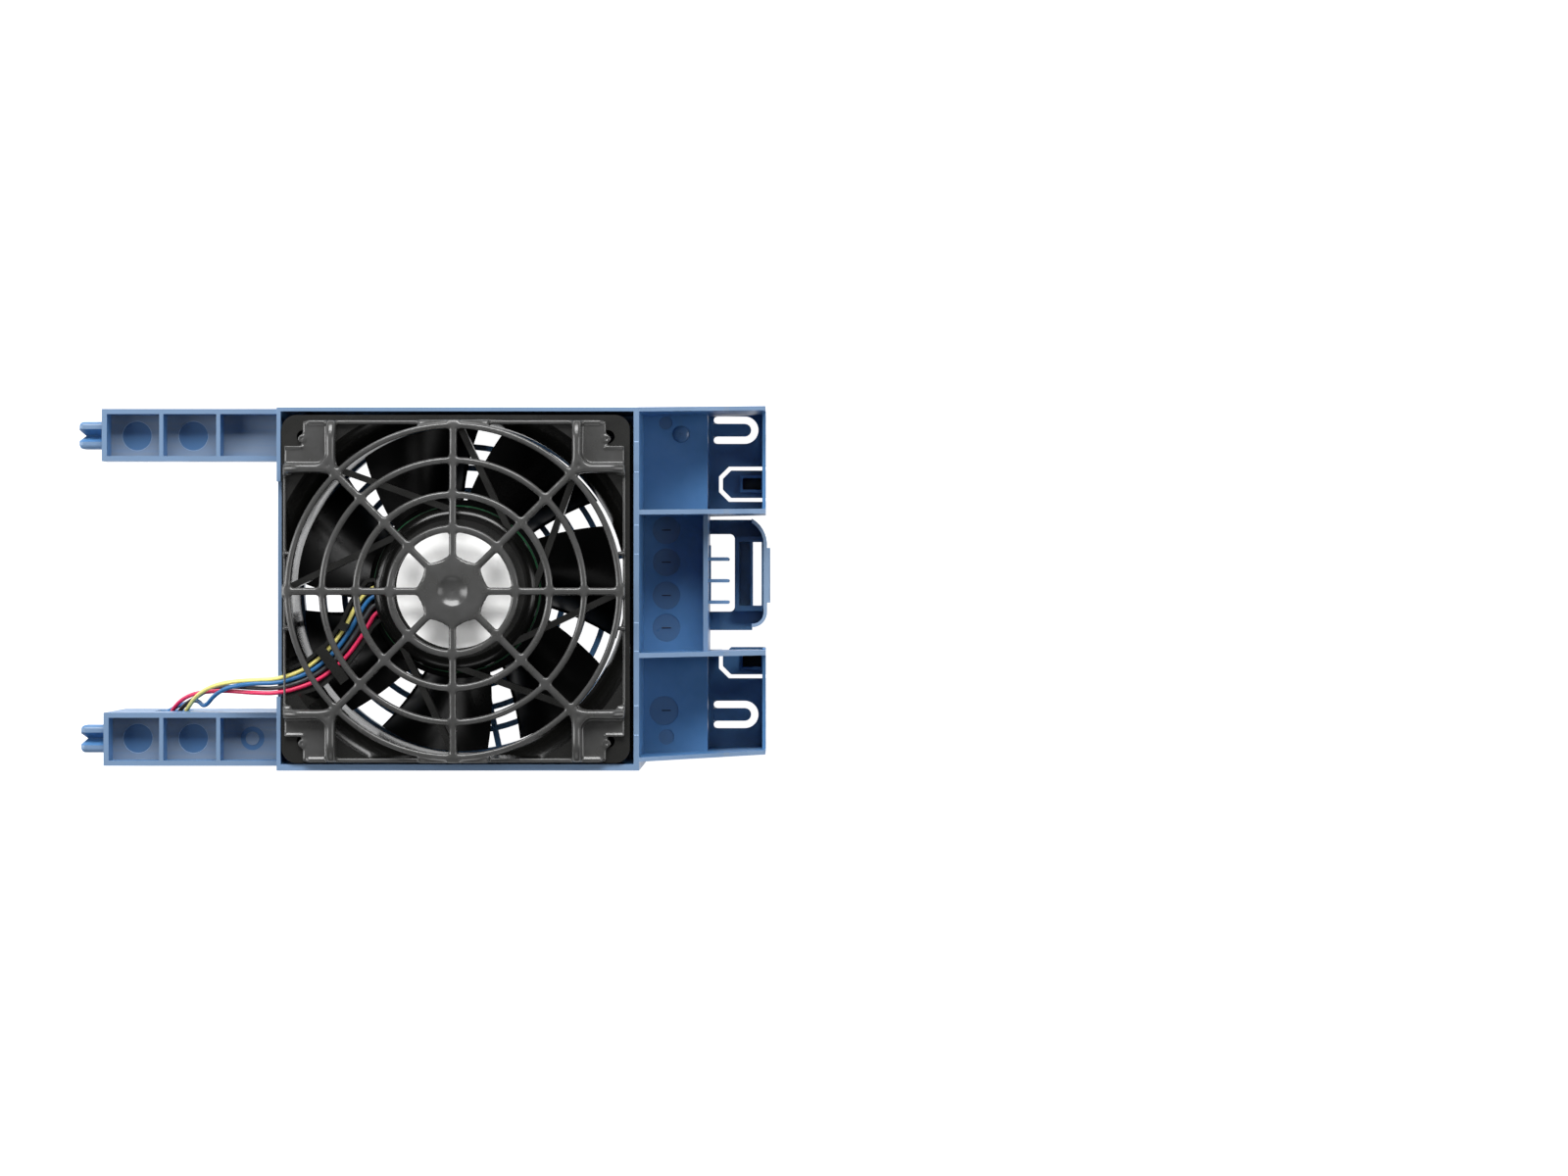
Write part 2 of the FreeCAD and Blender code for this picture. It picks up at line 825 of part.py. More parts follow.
def arm_pockets(end, bottom, top):
    # Three open pockets in an arm's front, with two ribs left between them.
    edges = [end + arm_wall]
    for place in arm_rib_places:
        edges += [place - arm_rib / 2, place + arm_rib / 2]
    edges.append(box_left)
    pockets = []
    for index in range(0, len(edges), 2):
        pockets.append(box(edges[index], edges[index + 1], bottom + arm_wall, top - arm_wall,
                           arm_pocket_floor, arm_front + past))
    return pockets


def round_marks(places, radius, level):
    return [disc(radius, level - mark_depth, level + past, x, y) for x, y in places]


def pocket_middles(end):
    # The middles of an arm's first two pockets.
    first = (end + arm_wall + arm_rib_places[0] - arm_rib / 2) / 2
    second = (arm_rib_places[0] + arm_rib_places[1]) / 2
    return first, second


def upper_arm():
    middle = (upper_arm_top + upper_arm_bottom) / 2
    back = arm_pocket_floor - pocket_floor
    arm = box(upper_arm_end, box_left + wall_left / 2, upper_arm_bottom, upper_arm_top, back, arm_front)
    tools = arm_pockets(upper_arm_end, upper_arm_bottom, upper_arm_top)
    first, second = pocket_middles(upper_arm_end)
    tools += round_marks([(first, middle), (second, middle)], mark_radius, arm_pocket_floor)
    return arm.cut(tools).fuse(tab(upper_arm_end, middle))


def lower_arm():
    middle = (lower_arm_top + lower_arm_bottom) / 2
    inner_left = lower_arm_end + arm_wall
    low_y = lower_arm_bottom + arm_wall
    high_y = lower_arm_top - arm_wall
    arm = box(lower_arm_end, box_left + wall_left / 2, lower_arm_bottom, lower_arm_top, lower_arm_back,
              arm_front)
    under = box(inner_left, box_left, low_y, high_y, lower_arm_back - past,
                arm_pocket_floor - pocket_floor)
    first, second = pocket_middles(lower_arm_end)
    third = (arm_rib_places[1] + box_left) / 2
    tools = arm_pockets(lower_arm_end, lower_arm_bottom, lower_arm_top) + [under]
    tools += round_marks([(first, middle), (second, middle)], mark_radius, arm_pocket_floor)
    tools += round_marks([(third, middle)], small_mark_radius, arm_pocket_floor)
    hole = box(wire_hole_low_x, wire_hole_high_x, high_y - past, lower_arm_top + past,
               wire_hole_low_z, wire_hole_high_z)
    arm = arm.cut(tools + [hole])
    core = disc(small_mark_core, arm_pocket_floor - mark_depth, arm_pocket_floor + mark_depth, third,
                middle)
    return join([arm, core, connector_shelf(low_y, high_y), tab(lower_arm_end, middle)])


def connector_shelf(low_y, high_y):
    reach = connector_length / 2 + connector_lip + shelf_reach
    shelf = box(connector_x - reach, connector_x + reach, low_y - past / 2, high_y + past / 2,
                shelf_height - shelf_thickness, shelf_height)
    half_x = connector_length / 2 + connector_gap
    half_y = connector_width / 2 + connector_gap
    cut_out = box(connector_x - half_x, connector_x + half_x, connector_y - half_y, connector_y + half_y,
                  0, shelf_height + past)
    return shelf.cut(cut_out)


def slanted_wall(near, far, thickness, z1):
    # A tray wall that runs away from the fan box, its outer or middle line from near to far.
    start = box_right - wall_right / 2
    points = [(start, near), (tray_end, far), (tray_end, far + thickness), (start, near + thickness)]
    return plan_solid(points, 0, z1)


def tray_walls():
    half = divider_thickness / 2
    walls = [
        slanted_wall(tray_top_near - tray_wall, tray_top_far - tray_wall, tray_wall, carrier_depth),
        slanted_wall(tray_bottom_near, tray_bottom_far, tray_wall, carrier_depth),
        slanted_wall(upper_divider_near - half, upper_divider_far - half, divider_thickness,
                     carrier_depth),
        slanted_wall(lower_divider_near - half, lower_divider_far - half, divider_thickness,
                     carrier_depth),
    ]
    # The front edges of these walls fall away from the fan box in a straight line.
    slope = side_solid([(box_right, carrier_depth), (tray_end + past, tray_far_height - past / 2),
                        (tray_end + past, carrier_depth + past), (box_right, carrier_depth + past)],
                       box_bottom - 10 * past, box_top + 10 * past)
    return join(walls).cut(slope)


def tray_bay(low_near, high_near, low_far, high_far, x0, x1, z0, z1):
    # A level plate that fills a bay between two slanted walls, from x0 to x1.
    start = box_right
    span = tray_end - start
    def level(near, far, x):
        return near + (far - near) * (x - start) / span
    points = [(x0, level(low_near, low_far, x0)), (x1, level(low_near, low_far, x1)),
              (x1, level(high_near, high_far, x1)), (x0, level(high_near, high_far, x0))]
    return plan_solid(points, z0, z1)


def bay_pieces(low_near, high_near, low_far, high_far):
    # One outer bay of the tray: raised ledge, step, deep floor and end wall.
    edges = (low_near, high_near, low_far, high_far)
    ledge_low = ledge_height - ledge_thickness
    wall_start = tray_end - tray_end_wall
    return [
        tray_bay(*edges, box_right - wall_right / 2, ledge_end, ledge_low, ledge_height),
        tray_bay(*edges, ledge_end - step_wall, ledge_end, 0, ledge_height),
        tray_bay(*edges, ledge_end - step_wall, tray_end, 0, floor_thickness),
        tray_bay(*edges, wall_start, tray_end, 0, end_wall_height),
    ]


def middle_bay():
    # The middle bay: a ledge, the inner wall with three fins, and two necks that carry the lever.
    ledge_low = ledge_height - ledge_thickness
    wall_start = mid_wall_face - mid_wall_thickness
    edges = (lower_divider_near, upper_divider_near, lower_divider_far, upper_divider_far)
    pieces = [
        tray_bay(*edges, box_right - wall_right / 2, wall_start, ledge_low, ledge_height),
        tray_bay(*edges, wall_start, mid_wall_face, 0, mid_wall_height),
        box(wall_start, lever_hinge, window_top, lever_top, 0, floor_thickness),
        box(wall_start, lever_hinge, lever_bottom, window_bottom, 0, floor_thickness),
    ]
    for place in fin_places:
        pieces.append(fin(place))
    web_low = fin_bottom + past
    web = box(mid_wall_face, mid_wall_face + fin_web, fin_places[-1], fin_places[0] + fin_web_height,
              web_low, web_low + fin_web_height)
    return pieces + [web]


def fin(place):
    half = fin_thickness / 2
    reach = mid_wall_face + fin_reach - half
    plate = box(mid_wall_face - mid_wall_thickness / 2, reach, place - half, place + half, fin_bottom,
                fin_top)
    return plate.fuse(disc(half, fin_bottom, fin_top, reach, place))


def u_tool(centre):
    # A U slot in the tray floor, open side towards the fan box.
    middle = u_outer / 2
    inner = middle - u_slot
    bend = u_end - middle
    low = -past
    high = floor_thickness + past
    outer = join([box(u_start, bend, centre - middle, centre + middle, low, high),
                  disc(middle, low, high, bend, centre)])
    tongue = join([box(u_start - past, bend, centre - inner, centre + inner, low - past, high + past),
                   disc(inner, low - past, high + past, bend, centre)])
    return outer.cut(tongue), tongue


def wall_u_tool(centre):
    # The like slot in the end wall, its open side up. It is made flat, then stood up.
    middle = u_outer / 2
    inner = middle - u_slot
    bend = wall_u_low + middle
    x0 = tray_end - tray_end_wall - past
    x1 = tray_end + past
    def rod(radius, start, end):
        return Part.makeCylinder(radius, end - start, V(start, centre, bend), V(1, 0, 0))
    outer = join([box(x0, x1, centre - middle, centre + middle, bend, wall_u_high), rod(middle, x0, x1)])
    tongue = join([box(x0 - past, x1 + past, centre - inner, centre + inner, bend, wall_u_high + past),
                   rod(inner, x0 - past, x1 + past)])
    return outer.cut(tongue), tongue


def finger_plan(centre, extra):
    # The finger's outline on the floor, grown by extra all round, with its two corners cut off.
    half = finger_width / 2 + extra
    start = finger_start - extra
    cut = finger_chamfer + extra * finger_chamfer_growth
    end = tray_end + past
    return [(start, centre - half + cut), (start + cut, centre - half), (end, centre - half),
            (end, centre + half), (start + cut, centre + half), (start, centre + half - cut)]


def finger_hole(centre):
    # What is cut from the carrier round a latch finger: floor, end wall and the foot of a divider.
    half = finger_width / 2 + finger_slot
    floor_cut = plan_solid(finger_plan(centre, finger_slot), -past, boss_height + 2 * past)
    wall_cut = box(tray_end - tray_end_wall - finger_slot, tray_end + past, centre - half, centre + half,
                   -past, finger_bend_height)
    return [floor_cut, wall_cut]


def make_latch_finger(centre):
    half = finger_width / 2
    wall_face = tray_end - tray_end_wall
    limit = box(finger_start, tray_end, centre - half, centre + half, 0, finger_bend_height)
    floor = plan_solid(finger_plan(centre, 0), 0, floor_thickness)
    wall = box(wall_face, tray_end, centre - half, centre + half, 0, finger_bend_height)
    boss_end = wall_face + tray_end_wall / 2
    boss = box(wall_face - boss_length, boss_end, centre - boss_width / 2, centre + boss_width / 2, 0,
               boss_height)
    hole = box(wall_face - boss_length + boss_wall, wall_face - boss_wall / 2,
               centre - boss_width / 2 + boss_wall,
               centre + boss_width / 2 - boss_wall, -past, boss_height + past)
    return join([floor, wall, boss]).common(limit).cut(hole)


def make_floor_spring(centre):
    # The tongue itself: from the root of its slot to its round end.
    tongue = u_tool(centre)[1]
    level = box(u_start, u_end, centre - u_outer, centre + u_outer, 0, floor_thickness)
    return tongue.common(level)


def make_wall_spring(centre):
    tongue = wall_u_tool(centre)[1]
    level = box(tray_end - tray_end_wall, tray_end, centre - u_outer, centre + u_outer, 0, wall_u_high)
    return tongue.common(level)


def make_carrier_frame():
    pieces = fan_box_walls() + [rear_wall()] + rear_guard() + [upper_arm(), lower_arm(), tray_walls()]
    half = divider_thickness / 2
    inset = tray_wall / 2
    pieces += bay_pieces(upper_divider_near, tray_top_near - inset, upper_divider_far,
                         tray_top_far - inset)
    pieces += bay_pieces(tray_bottom_near + inset, lower_divider_near + half, tray_bottom_far + inset,
                         lower_divider_far + half)
    pieces += middle_bay()
    body = join(pieces)
    tools = []
    for centre in floor_spring_places:
        tools.append(u_tool(centre)[0])
        tools.append(wall_u_tool(centre)[0])
        tools.append(make_floor_spring(centre))
        tools.append(make_wall_spring(centre))
    for centre in finger_places:
        tools += finger_hole(centre)
    for place in step_slit_places:
        tools.append(box(ledge_end - step_wall - past, ledge_end + past, place - step_slit_width / 2,
                         place + step_slit_width / 2, step_slit_low, ledge_height - ledge_thickness))
    ejectors = [(ejector_x, place) for place in ejector_places]
    tools += round_marks(ejectors, ejector_radius, ledge_height)
    for x, y, radius in ledge_marks:
        tools += round_marks([(x, y)], radius, ledge_height)
    lever_sweep = box(mid_wall_face, tray_end + past, lower_divider_far + half, lever_bottom - past / 2,
                      -past, 2 * past)
    return body.cut(tools).cut(lever_sweep)


# Release lever


def thumb_wall():
    low_radius = thumb_bottom_radius
    top_edge = thumb_top_straight + thumb_top_radius
    outer = bowed_block(thumb_face, thumb_bottom, top_edge, low_radius, thumb_top_radius)
    inner = bowed_block(thumb_face - thumb_thickness, thumb_bottom + thumb_thickness,
                        top_edge - thumb_thickness,
                        low_radius - thumb_thickness, thumb_top_radius - thumb_thickness)
    keep = box(thumb_start, thumb_face + past, thumb_bottom - past, top_edge, 0, lever_height)
    return outer.cut(inner).common(keep)


def bowed_block(face, bottom, top, bottom_radius, top_radius):
    solid = box(lever_hinge, face, bottom, top, 0, lever_height)
    upright = [e for e in upright_edges(solid) if e.CenterOfMass.x > face - same_place]
    low_edge = [e for e in upright if e.CenterOfMass.y < 0]
    solid = solid.makeFillet(bottom_radius, low_edge)
    upright = [e for e in upright_edges(solid) if e.CenterOfMass.x > face - same_place]
    upright = [e for e in upright if e.CenterOfMass.y > top - same_place]
    return solid.makeFillet(top_radius, upright)


def grip_pad():
    pad = box(thumb_face - thumb_thickness / 2, thumb_face + pad_proud - pad_ridge_proud, pad_bottom,
              pad_top, pad_low, lever_height)
    ridges = []
    step = (lever_height - pad_low) / pad_ridge_count
    for index in range(pad_ridge_count):
        low = pad_low + step * (index + 0.5) - pad_ridge / 2
        ridges.append(box(thumb_face, thumb_face + pad_proud, pad_bottom, pad_top, low, low + pad_ridge))
    return [pad] + ridges


def make_release_lever():
    floor = box(lever_hinge, thumb_face - thumb_thickness / 2, lever_bottom, lever_top, 0,
                floor_thickness)
    corner_cut = box(thumb_start, thumb_face + past, lever_bottom - past, lever_top + past, -past,
                     floor_thickness + past)
    plan = bowed_block(thumb_face, thumb_bottom, thumb_top_straight + thumb_top_radius,
                       thumb_bottom_radius, thumb_top_radius)
    floor = floor.cut(corner_cut).fuse(floor.common(corner_cut).common(plan))
    window = rounded_box(lever_hinge - 5 * window_radius, window_end, window_bottom, window_top, -past,
                         2 * past + 1,
                         window_radius)
    frame = box(lever_frame_start, lever_slot_end + past / 2, lever_frame_bottom, lever_frame_top, 0,
                lever_frame_height)
    recess = box(lever_frame_start + lever_frame_wall,
                 lever_slot_start - lever_recess_gap - lever_frame_wall / 2,
                 lever_slot_bottom, lever_slot_top, floor_thickness, lever_frame_height + past)
    slot = box(lever_slot_start, lever_slot_end, lever_slot_bottom, lever_slot_top, -past,
               lever_slot_height)
    wall_slot = box(lever_slot_end, thumb_face + past, lever_slot_bottom, lever_slot_top,
                    floor_thickness + past, lever_slot_height - past)
    lever = join([floor, frame, thumb_wall()] + grip_pad())
    return lever.cut([window, recess, slot, wall_slot])


# Finger guard


def dome(radius):
    # Height of the guard's front surface above the fan's face, at a distance from its middle.
    share = radius / guard_ring_radii[-1]
    return fan_front + guard_height - guard_dome * share * share


def guard_spoke(angle, reach):
    # A spoke follows the dome in a few short straight runs.
    stations = [guard_hub_radius - past] + [r for r in guard_ring_radii if r < reach] + [reach]
    top = [(r, dome(r)) for r in stations]
    bottom = [(r, dome(r) - guard_bar) for r in reversed(stations)]
    half = guard_spoke_width / 2
    return turned(side_solid(top + bottom, -half, half), angle)


def guard_leg(angle):
    # The end of a straight spoke: it comes down to the guard's rim.
    near = guard_ring_radii[-1] - guard_spoke_width / 2
    leg = box(near, guard_edge, -guard_spoke_width, guard_spoke_width, fan_front,
              dome(guard_ring_radii[-1]))
    return turned(leg, angle)


def guard_rings():
    rings = []
    for radius, width in zip(guard_ring_radii, guard_ring_widths):
        rings.append(ring(radius + width / 2, radius - width / 2, dome(radius) - guard_bar, dome(radius)))
    return rings


def guard_hub():
    hub = disc(guard_hub_radius, dome(0) - guard_hub_thickness, dome(0))
    depth = guard_dimple_depth
    ball_radius = (guard_dimple_radius * guard_dimple_radius + depth * depth) / (2 * depth)
    return hub.cut(Part.makeSphere(ball_radius, V(0, 0, dome(0) - depth + ball_radius)))


def guard_corner():
    # One corner: a pad on the fan's face and an L of two raised ribs.
    junction = guard_rib_place
    top = dome(guard_ring_radii[-1])
    low = fan_front
    half = guard_corner_rib / 2
    pad = box(junction - half, guard_edge, junction - half, guard_edge, low, low + guard_corner_floor)
    rib_profile = [(junction - half, low), (guard_edge, low), (guard_edge, low + guard_corner_rib),
                   (junction, top),
                   (junction - half, top)]
    rib_x = side_solid(rib_profile, junction - half, junction + half)
    rib_y = rib_x.mirror(V(0, 0, 0), V(1, -1, 0))
    return join([pad, rib_x, rib_y])


def make_finger_guard():
    low = fan_front
    half = guard_edge
    rim = rounded_box(-half, half, -half, half, low, low + guard_rim_height, fan_corner_radius)
    inner = half - guard_rim
    rim = rim.cut(rounded_box(-inner, inner, -inner, inner, low - past, low + guard_rim_height + past,
                              fan_corner_radius))
    rim = rim.cut(disc(guard_ring_radii[-1] - guard_ring_widths[-1] / 2, low - past, low + guard_height))
    pieces = [rim, guard_hub()] + guard_rings()
    for index in range(guard_spoke_count):
        angle = index * 360 / guard_spoke_count
        if index % 2 == 0:
            pieces.append(guard_spoke(angle, guard_ring_radii[-1]))
            pieces.append(guard_leg(angle))
        else:
            pieces.append(guard_spoke(angle, math.hypot(guard_rib_place, guard_rib_place)))
    corner = guard_corner()
    for index in range(4):
        pieces.append(turned(corner, index * 90))
    pieces += guard_bridges() + guard_clips()
    guard = join(pieces)
    outline = rounded_box(-half, half, -half, half, low - 2 * guard_clip_depth, low + 2 * guard_height,
                          fan_corner_radius)
    guard = guard.common(outline)
    guard.translate(V(guard_play_x, guard_play_y, 0))
    posts = []
    for x, y in hole_centres():
        posts.append(disc(guard_post_radius, low - guard_post_length, low + guard_corner_floor, x, y))
    return join([guard] + posts)


def guard_bridges():
    # The plates above and below, between the rim and the outer ring.
    plates = []
    for angle in (90, 270):
        near = guard_ring_radii[-1] - guard_spoke_width / 2
        plate = box(near, guard_edge, -guard_bridge_half, guard_bridge_half, fan_front,
                    dome(guard_ring_radii[-1]) - guard_bar / 2)
        plates.append(turned(plate, angle))
    return plates


def guard_clips():
    # Short upright lips on the two sides, on the rim.
    lips = []
    for place in guard_clip_places:
        for side in (0, 180):
            lip = box(guard_edge - guard_rim, guard_edge, place - guard_clip_width / 2,
                      place + guard_clip_width / 2,
                      fan_front, fan_front + guard_clip_height)
            lips.append(turned(lip, side) if side == 0 else lip.mirror(V(0, 0, 0), V(1, 0, 0)))
    return lips


# Connector


def contact_places():
    first = connector_x - contact_pitch * (contact_count - 1) / 2
    return [first + contact_pitch * index for index in range(contact_count)]


def contact(place):
    half = contact_size / 2
    low = lower_arm_back + contact_inset
    return box(place - half, place + half, connector_y - half, connector_y + half, low, connector_top)


def make_connector_contacts():
    return Part.makeCompound([contact(place) for place in contact_places()])


def make_connector_housing():
    half_x = connector_length / 2
    half_y = connector_width / 2
    x, y = connector_x, connector_y
    body = box(x - half_x, x + half_x, y - half_y, y + half_y, lower_arm_back, connector_top)
    lip = connector_lip
    flange = box(x - half_x - lip, x + half_x + lip, y - half_y - lip, y + half_y + lip,
                 shelf_height, shelf_height + connector_flange)
    wall = connector_wall
    socket = box(x - half_x + wall, x + half_x - wall, y - half_y + wall, y + half_y - wall,
                 lower_arm_back - past, lower_arm_back + socket_depth)
    housing = join([body, flange]).cut(socket)
    return housing.cut([contact(place) for place in contact_places()])


# Wires


def wire_end(pin, height):
    # Through the hole in the arm's side and down to the connector.
    y = connector_y
    return [(pin, y + wire_entry_reach, height), (pin, y + wire_turn_reach, height - wire_turn_drop),
            (pin, y, height - wire_down_drop), (pin, y, connector_top)]


def wire_routes():
    # Each wire's points, from the circuit board to the connector, chosen by eye.
    blue_pin, red_pin, grey_pin, yellow_pin = contact_places()
    return {
        "wire_yellow": [(-23.0, 1.9, 60.5), (-29.2, 1.2, 61.9), (-34.6, -5.0, 61.9), (-38.0, -12.3, 61.9),
                        (-43.8, -20.6, 61.9), (-51.6, -27.4, 62.0), (-61.0, -31.2, 62.8),
                        (-71.0, -31.5, 63.2),
                        (-80.0, -32.3, 60.4), (-87.0, -34.3, 54.6), (-92.4, -37.6, 47.6),
                        (-96.0, -41.0, 38.6)] + wire_end(yellow_pin, 32.2),
        "wire_blue": [(-23.0, -0.9, 60.5), (-28.9, -1.8, 61.9), (-33.3, -7.6, 61.9), (-36.6, -14.2, 61.9),
                      (-42.2, -22.0, 61.9), (-50.5, -29.0, 62.0), (-61.0, -32.8, 62.8),
                      (-70.0, -33.3, 63.8),
                      (-78.6, -35.2, 61.8), (-86.0, -39.2, 52.8), (-91.5, -40.8, 41.5),
                      (-97.0, -41.4, 32.4),
                      (-102.6, -41.8, 29.2)] + wire_end(blue_pin, 29.0),
        "wire_grey": [(-23.0, -3.7, 60.5), (-28.4, -4.7, 61.9), (-31.9, -10.2, 61.9),
                      (-35.3, -16.1, 61.9),
                      (-40.6, -23.4, 61.9), (-49.5, -30.6, 62.0), (-61.0, -34.5, 62.8),
                      (-71.0, -34.3, 61.1),
                      (-80.0, -33.8, 55.6), (-88.0, -35.0, 46.6), (-94.0, -38.4, 38.6),
                      (-98.4, -40.8, 34.4)] + wire_end(grey_pin, 31.4),
        "wire_red": [(-23.0, -6.5, 60.5), (-27.8, -7.6, 61.9), (-30.6, -12.8, 61.9), (-33.9, -18.0, 61.9),
                     (-39.0, -24.8, 61.9), (-48.4, -32.2, 62.0), (-61.0, -36.2, 62.8),
                     (-71.0, -35.9, 62.6),
                     (-80.0, -35.3, 57.4), (-88.0, -35.8, 49.2), (-95.0, -37.0, 42.0),
                     (-100.5, -40.0, 36.2)] + wire_end(red_pin, 31.4),
    }


def rounded_path(points, name):
    # Straight runs joined by arcs, each as large as its two runs allow.
    edges = []
    radii = []
    last = points[0]
    for before, corner, after in zip(points[:-2], points[1:-1], points[2:]):
        back = (before - corner).normalize()
        ahead = (after - corner).normalize()
        turn = math.pi - back.getAngle(ahead)
        shorter = min((before - corner).Length, (after - corner).Length)
        cut = bend_share * shorter
        radius = cut / math.tan(turn / 2)
        radii.append(round(radius, 1))
        start = corner + back * cut
        end = corner + ahead * cut
        middle_way = (back + ahead).normalize()
        centre = corner + middle_way * (radius / math.cos(turn / 2))
        middle = centre - middle_way * radius
        edges.append(Part.LineSegment(last, start).toShape())
        edges.append(Part.Arc(start, middle, end).toShape())
        last = end
    edges.append(Part.LineSegment(last, points[-1]).toShape())
    print(name, "bend radii", radii)
    return Part.Wire(edges)


def make_wire(name, places):
    points = [V(*place) for place in places]
    path = rounded_path(points, name)
    direction = points[1] - points[0]
    circle = Part.Wire([Part.makeCircle(wire_diameter / 2, points[0], direction)])
    tube = path.makePipeShell([circle], True, True)
    expected = math.pi * wire_diameter * wire_diameter / 4 * path.Length
    print(name, "length", round(path.Length, 2), "volume ratio", round(tube.Volume / expected, 4))
    return tube


def all_nodes():
    nodes = {
        "carrier_frame": make_carrier_frame(),
        "release_lever": make_release_lever(),
        "latch_finger_upper": make_latch_finger(finger_places[0]),
        "latch_finger_lower": make_latch_finger(finger_places[1]),
        "floor_spring_upper": make_floor_spring(floor_spring_places[0]),
        "floor_spring_lower": make_floor_spring(floor_spring_places[1]),
        "wall_spring_upper": make_wall_spring(floor_spring_places[0]),
        "wall_spring_lower": make_wall_spring(floor_spring_places[1]),
        "fan_housing": make_fan_housing(),
        "finger_guard": make_finger_guard(),
        "impeller": make_impeller(),
        "rotor_yoke": make_rotor_yoke(),
        "rotor_magnet": make_rotor_magnet(),
        "rotor_shaft": make_rotor_shaft(),
        "retaining_ring": make_retaining_ring(),
        "bearing_tube": make_bearing_tube(),
        "bearing_front": make_bearing_front(),
        "bearing_rear": make_bearing_rear(),
        "preload_spring": make_preload_spring(),
        "stator_core": make_stator_core(),
        "stator_insulators": make_stator_insulators(),
        "stator_coils": make_stator_coils(),
        "circuit_board": make_circuit_board(),
        "board_components": make_board_components(),
        "motor_label": make_motor_label(),
        "connector_housing": make_connector_housing(),
        "connector_contacts": make_connector_contacts(),
    }
    for name, places in wire_routes().items():
        nodes[name] = make_wire(name, places)
    return nodes


def main():
    os.makedirs("parts", exist_ok=True)
    nodes = all_nodes()
    middle_x = (min(upper_arm_end, lower_arm_end) - tab_length + thumb_face + pad_proud) / 2
    middle_y = (box_bottom + tray_top_far) / 2
    print("fan axis at x", round(-middle_x, 3), "y", round(-middle_y, 3))
    for name, shape in nodes.items():
        shape.translate(V(-middle_x, -middle_y, 0))
        shape.exportStep("parts/" + name + ".step")
        print(name, "solids", len(shape.Solids), "valid", shape.isValid(), "volume",
              round(shape.Volume, 1))


main()
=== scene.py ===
# %% [markdown]
# # Server fan module
#
# This scene dresses a snap-in fan module: a blue moulded carrier with two arms and a latch tray, one black
# axial fan in it, and a domed finger guard on top. The solids of the module are loaded as a fixed frame. Some
# of them keep their shape and only get a material, and the others are replaced by finer surfaces.

import math

import bmesh
import bpy
import numpy as np
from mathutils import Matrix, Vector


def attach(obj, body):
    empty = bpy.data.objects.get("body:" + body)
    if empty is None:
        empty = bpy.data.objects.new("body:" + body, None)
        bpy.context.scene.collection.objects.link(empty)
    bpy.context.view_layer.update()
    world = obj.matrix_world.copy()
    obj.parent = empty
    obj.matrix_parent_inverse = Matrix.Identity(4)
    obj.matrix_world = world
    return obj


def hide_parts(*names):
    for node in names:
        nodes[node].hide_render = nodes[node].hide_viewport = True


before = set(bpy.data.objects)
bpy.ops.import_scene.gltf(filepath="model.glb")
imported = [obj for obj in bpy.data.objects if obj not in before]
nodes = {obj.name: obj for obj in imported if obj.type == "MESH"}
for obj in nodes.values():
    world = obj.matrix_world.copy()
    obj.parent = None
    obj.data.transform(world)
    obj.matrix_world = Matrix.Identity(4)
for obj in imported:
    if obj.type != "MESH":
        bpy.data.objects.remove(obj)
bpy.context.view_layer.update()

# %% [markdown]
# ## Where things are
#
# The module was measured in millimetres from the fan's axis, with heights from the module's back. The frame
# has its origin in the middle of the whole box, in metres. One small function takes the first to the second,
# so the numbers below can stay in millimetres. Working in metres at once would save it, but then no number
# could be checked against a ruler.

# %% From the fan's axis in mm to the frame in m
AXIS = np.array([12.1, -0.85, 0.0])
MM = 0.001


def place(points):
    """Points in mm from the fan's axis, as points of the frame in metres: the axis is added, then mm to m."""
    return (np.asarray(points, float) + AXIS) * MM


print("fan axis at", place([0, 0, 0]))

# %% [markdown]
# ## Camera
#
# The photograph looks straight down on the module, which lies on its back to the left of the middle. A real
# lens at this distance sees a little of the inner walls on the side away from it. The camera therefore stands
# off to the module's right, as far as the photograph's middle is, and isn't turned.

# %% Camera
camera_data = bpy.data.cameras.new("camera")
camera_data.lens = 88.5
camera_data.sensor_width = 36.0
camera = bpy.data.objects.new("camera", camera_data)
camera.location = (0.1253, -0.00052, 1.3952)
bpy.context.scene.collection.objects.link(camera)
bpy.context.scene.camera = camera
print("camera", tuple(round(v, 4) for v in camera.location))

# %% [markdown]
# ## Colour and nodes
#
# A colour picked from a photograph is an sRGB value, and a shader wants a linear one. One function converts
# it. A second one adds a node with its settings and its links, so that a material reads as a short list, and
# a third starts an empty material.


# %% Helpers for materials
def linear(code):
    """A colour written as sRGB hex, as linear red, green, blue and alpha: the standard sRGB curve undone."""
    parts = np.array([int(code[i:i + 2], 16) / 255 for i in (1, 3, 5)])
    parts = np.where(parts <= 0.04045, parts / 12.92, ((parts + 0.055) / 1.055) ** 2.4)
    return (*parts, 1.0)


def add(tree, kind, settings=None, inputs=None):
    """Adds one node. settings are its properties; inputs gives each socket a value or the output it is linked to."""
    node = tree.nodes.new(kind)
    for name, value in (settings or {}).items():
        setattr(node, name, value)
    for name, value in (inputs or {}).items():
        if isinstance(value, bpy.types.NodeSocket):
            tree.links.new(value, node.inputs[name])
        else:
            node.inputs[name].default_value = value
    return node


def empty_material(name):
    """A new material and its node tree, with no node in it yet."""
    material = bpy.data.materials.new(name)
    material.use_nodes = True
    material.node_tree.nodes.clear()
    return material, material.node_tree


print("carrier blue", [round(v, 3) for v in linear("#4a78a8")])

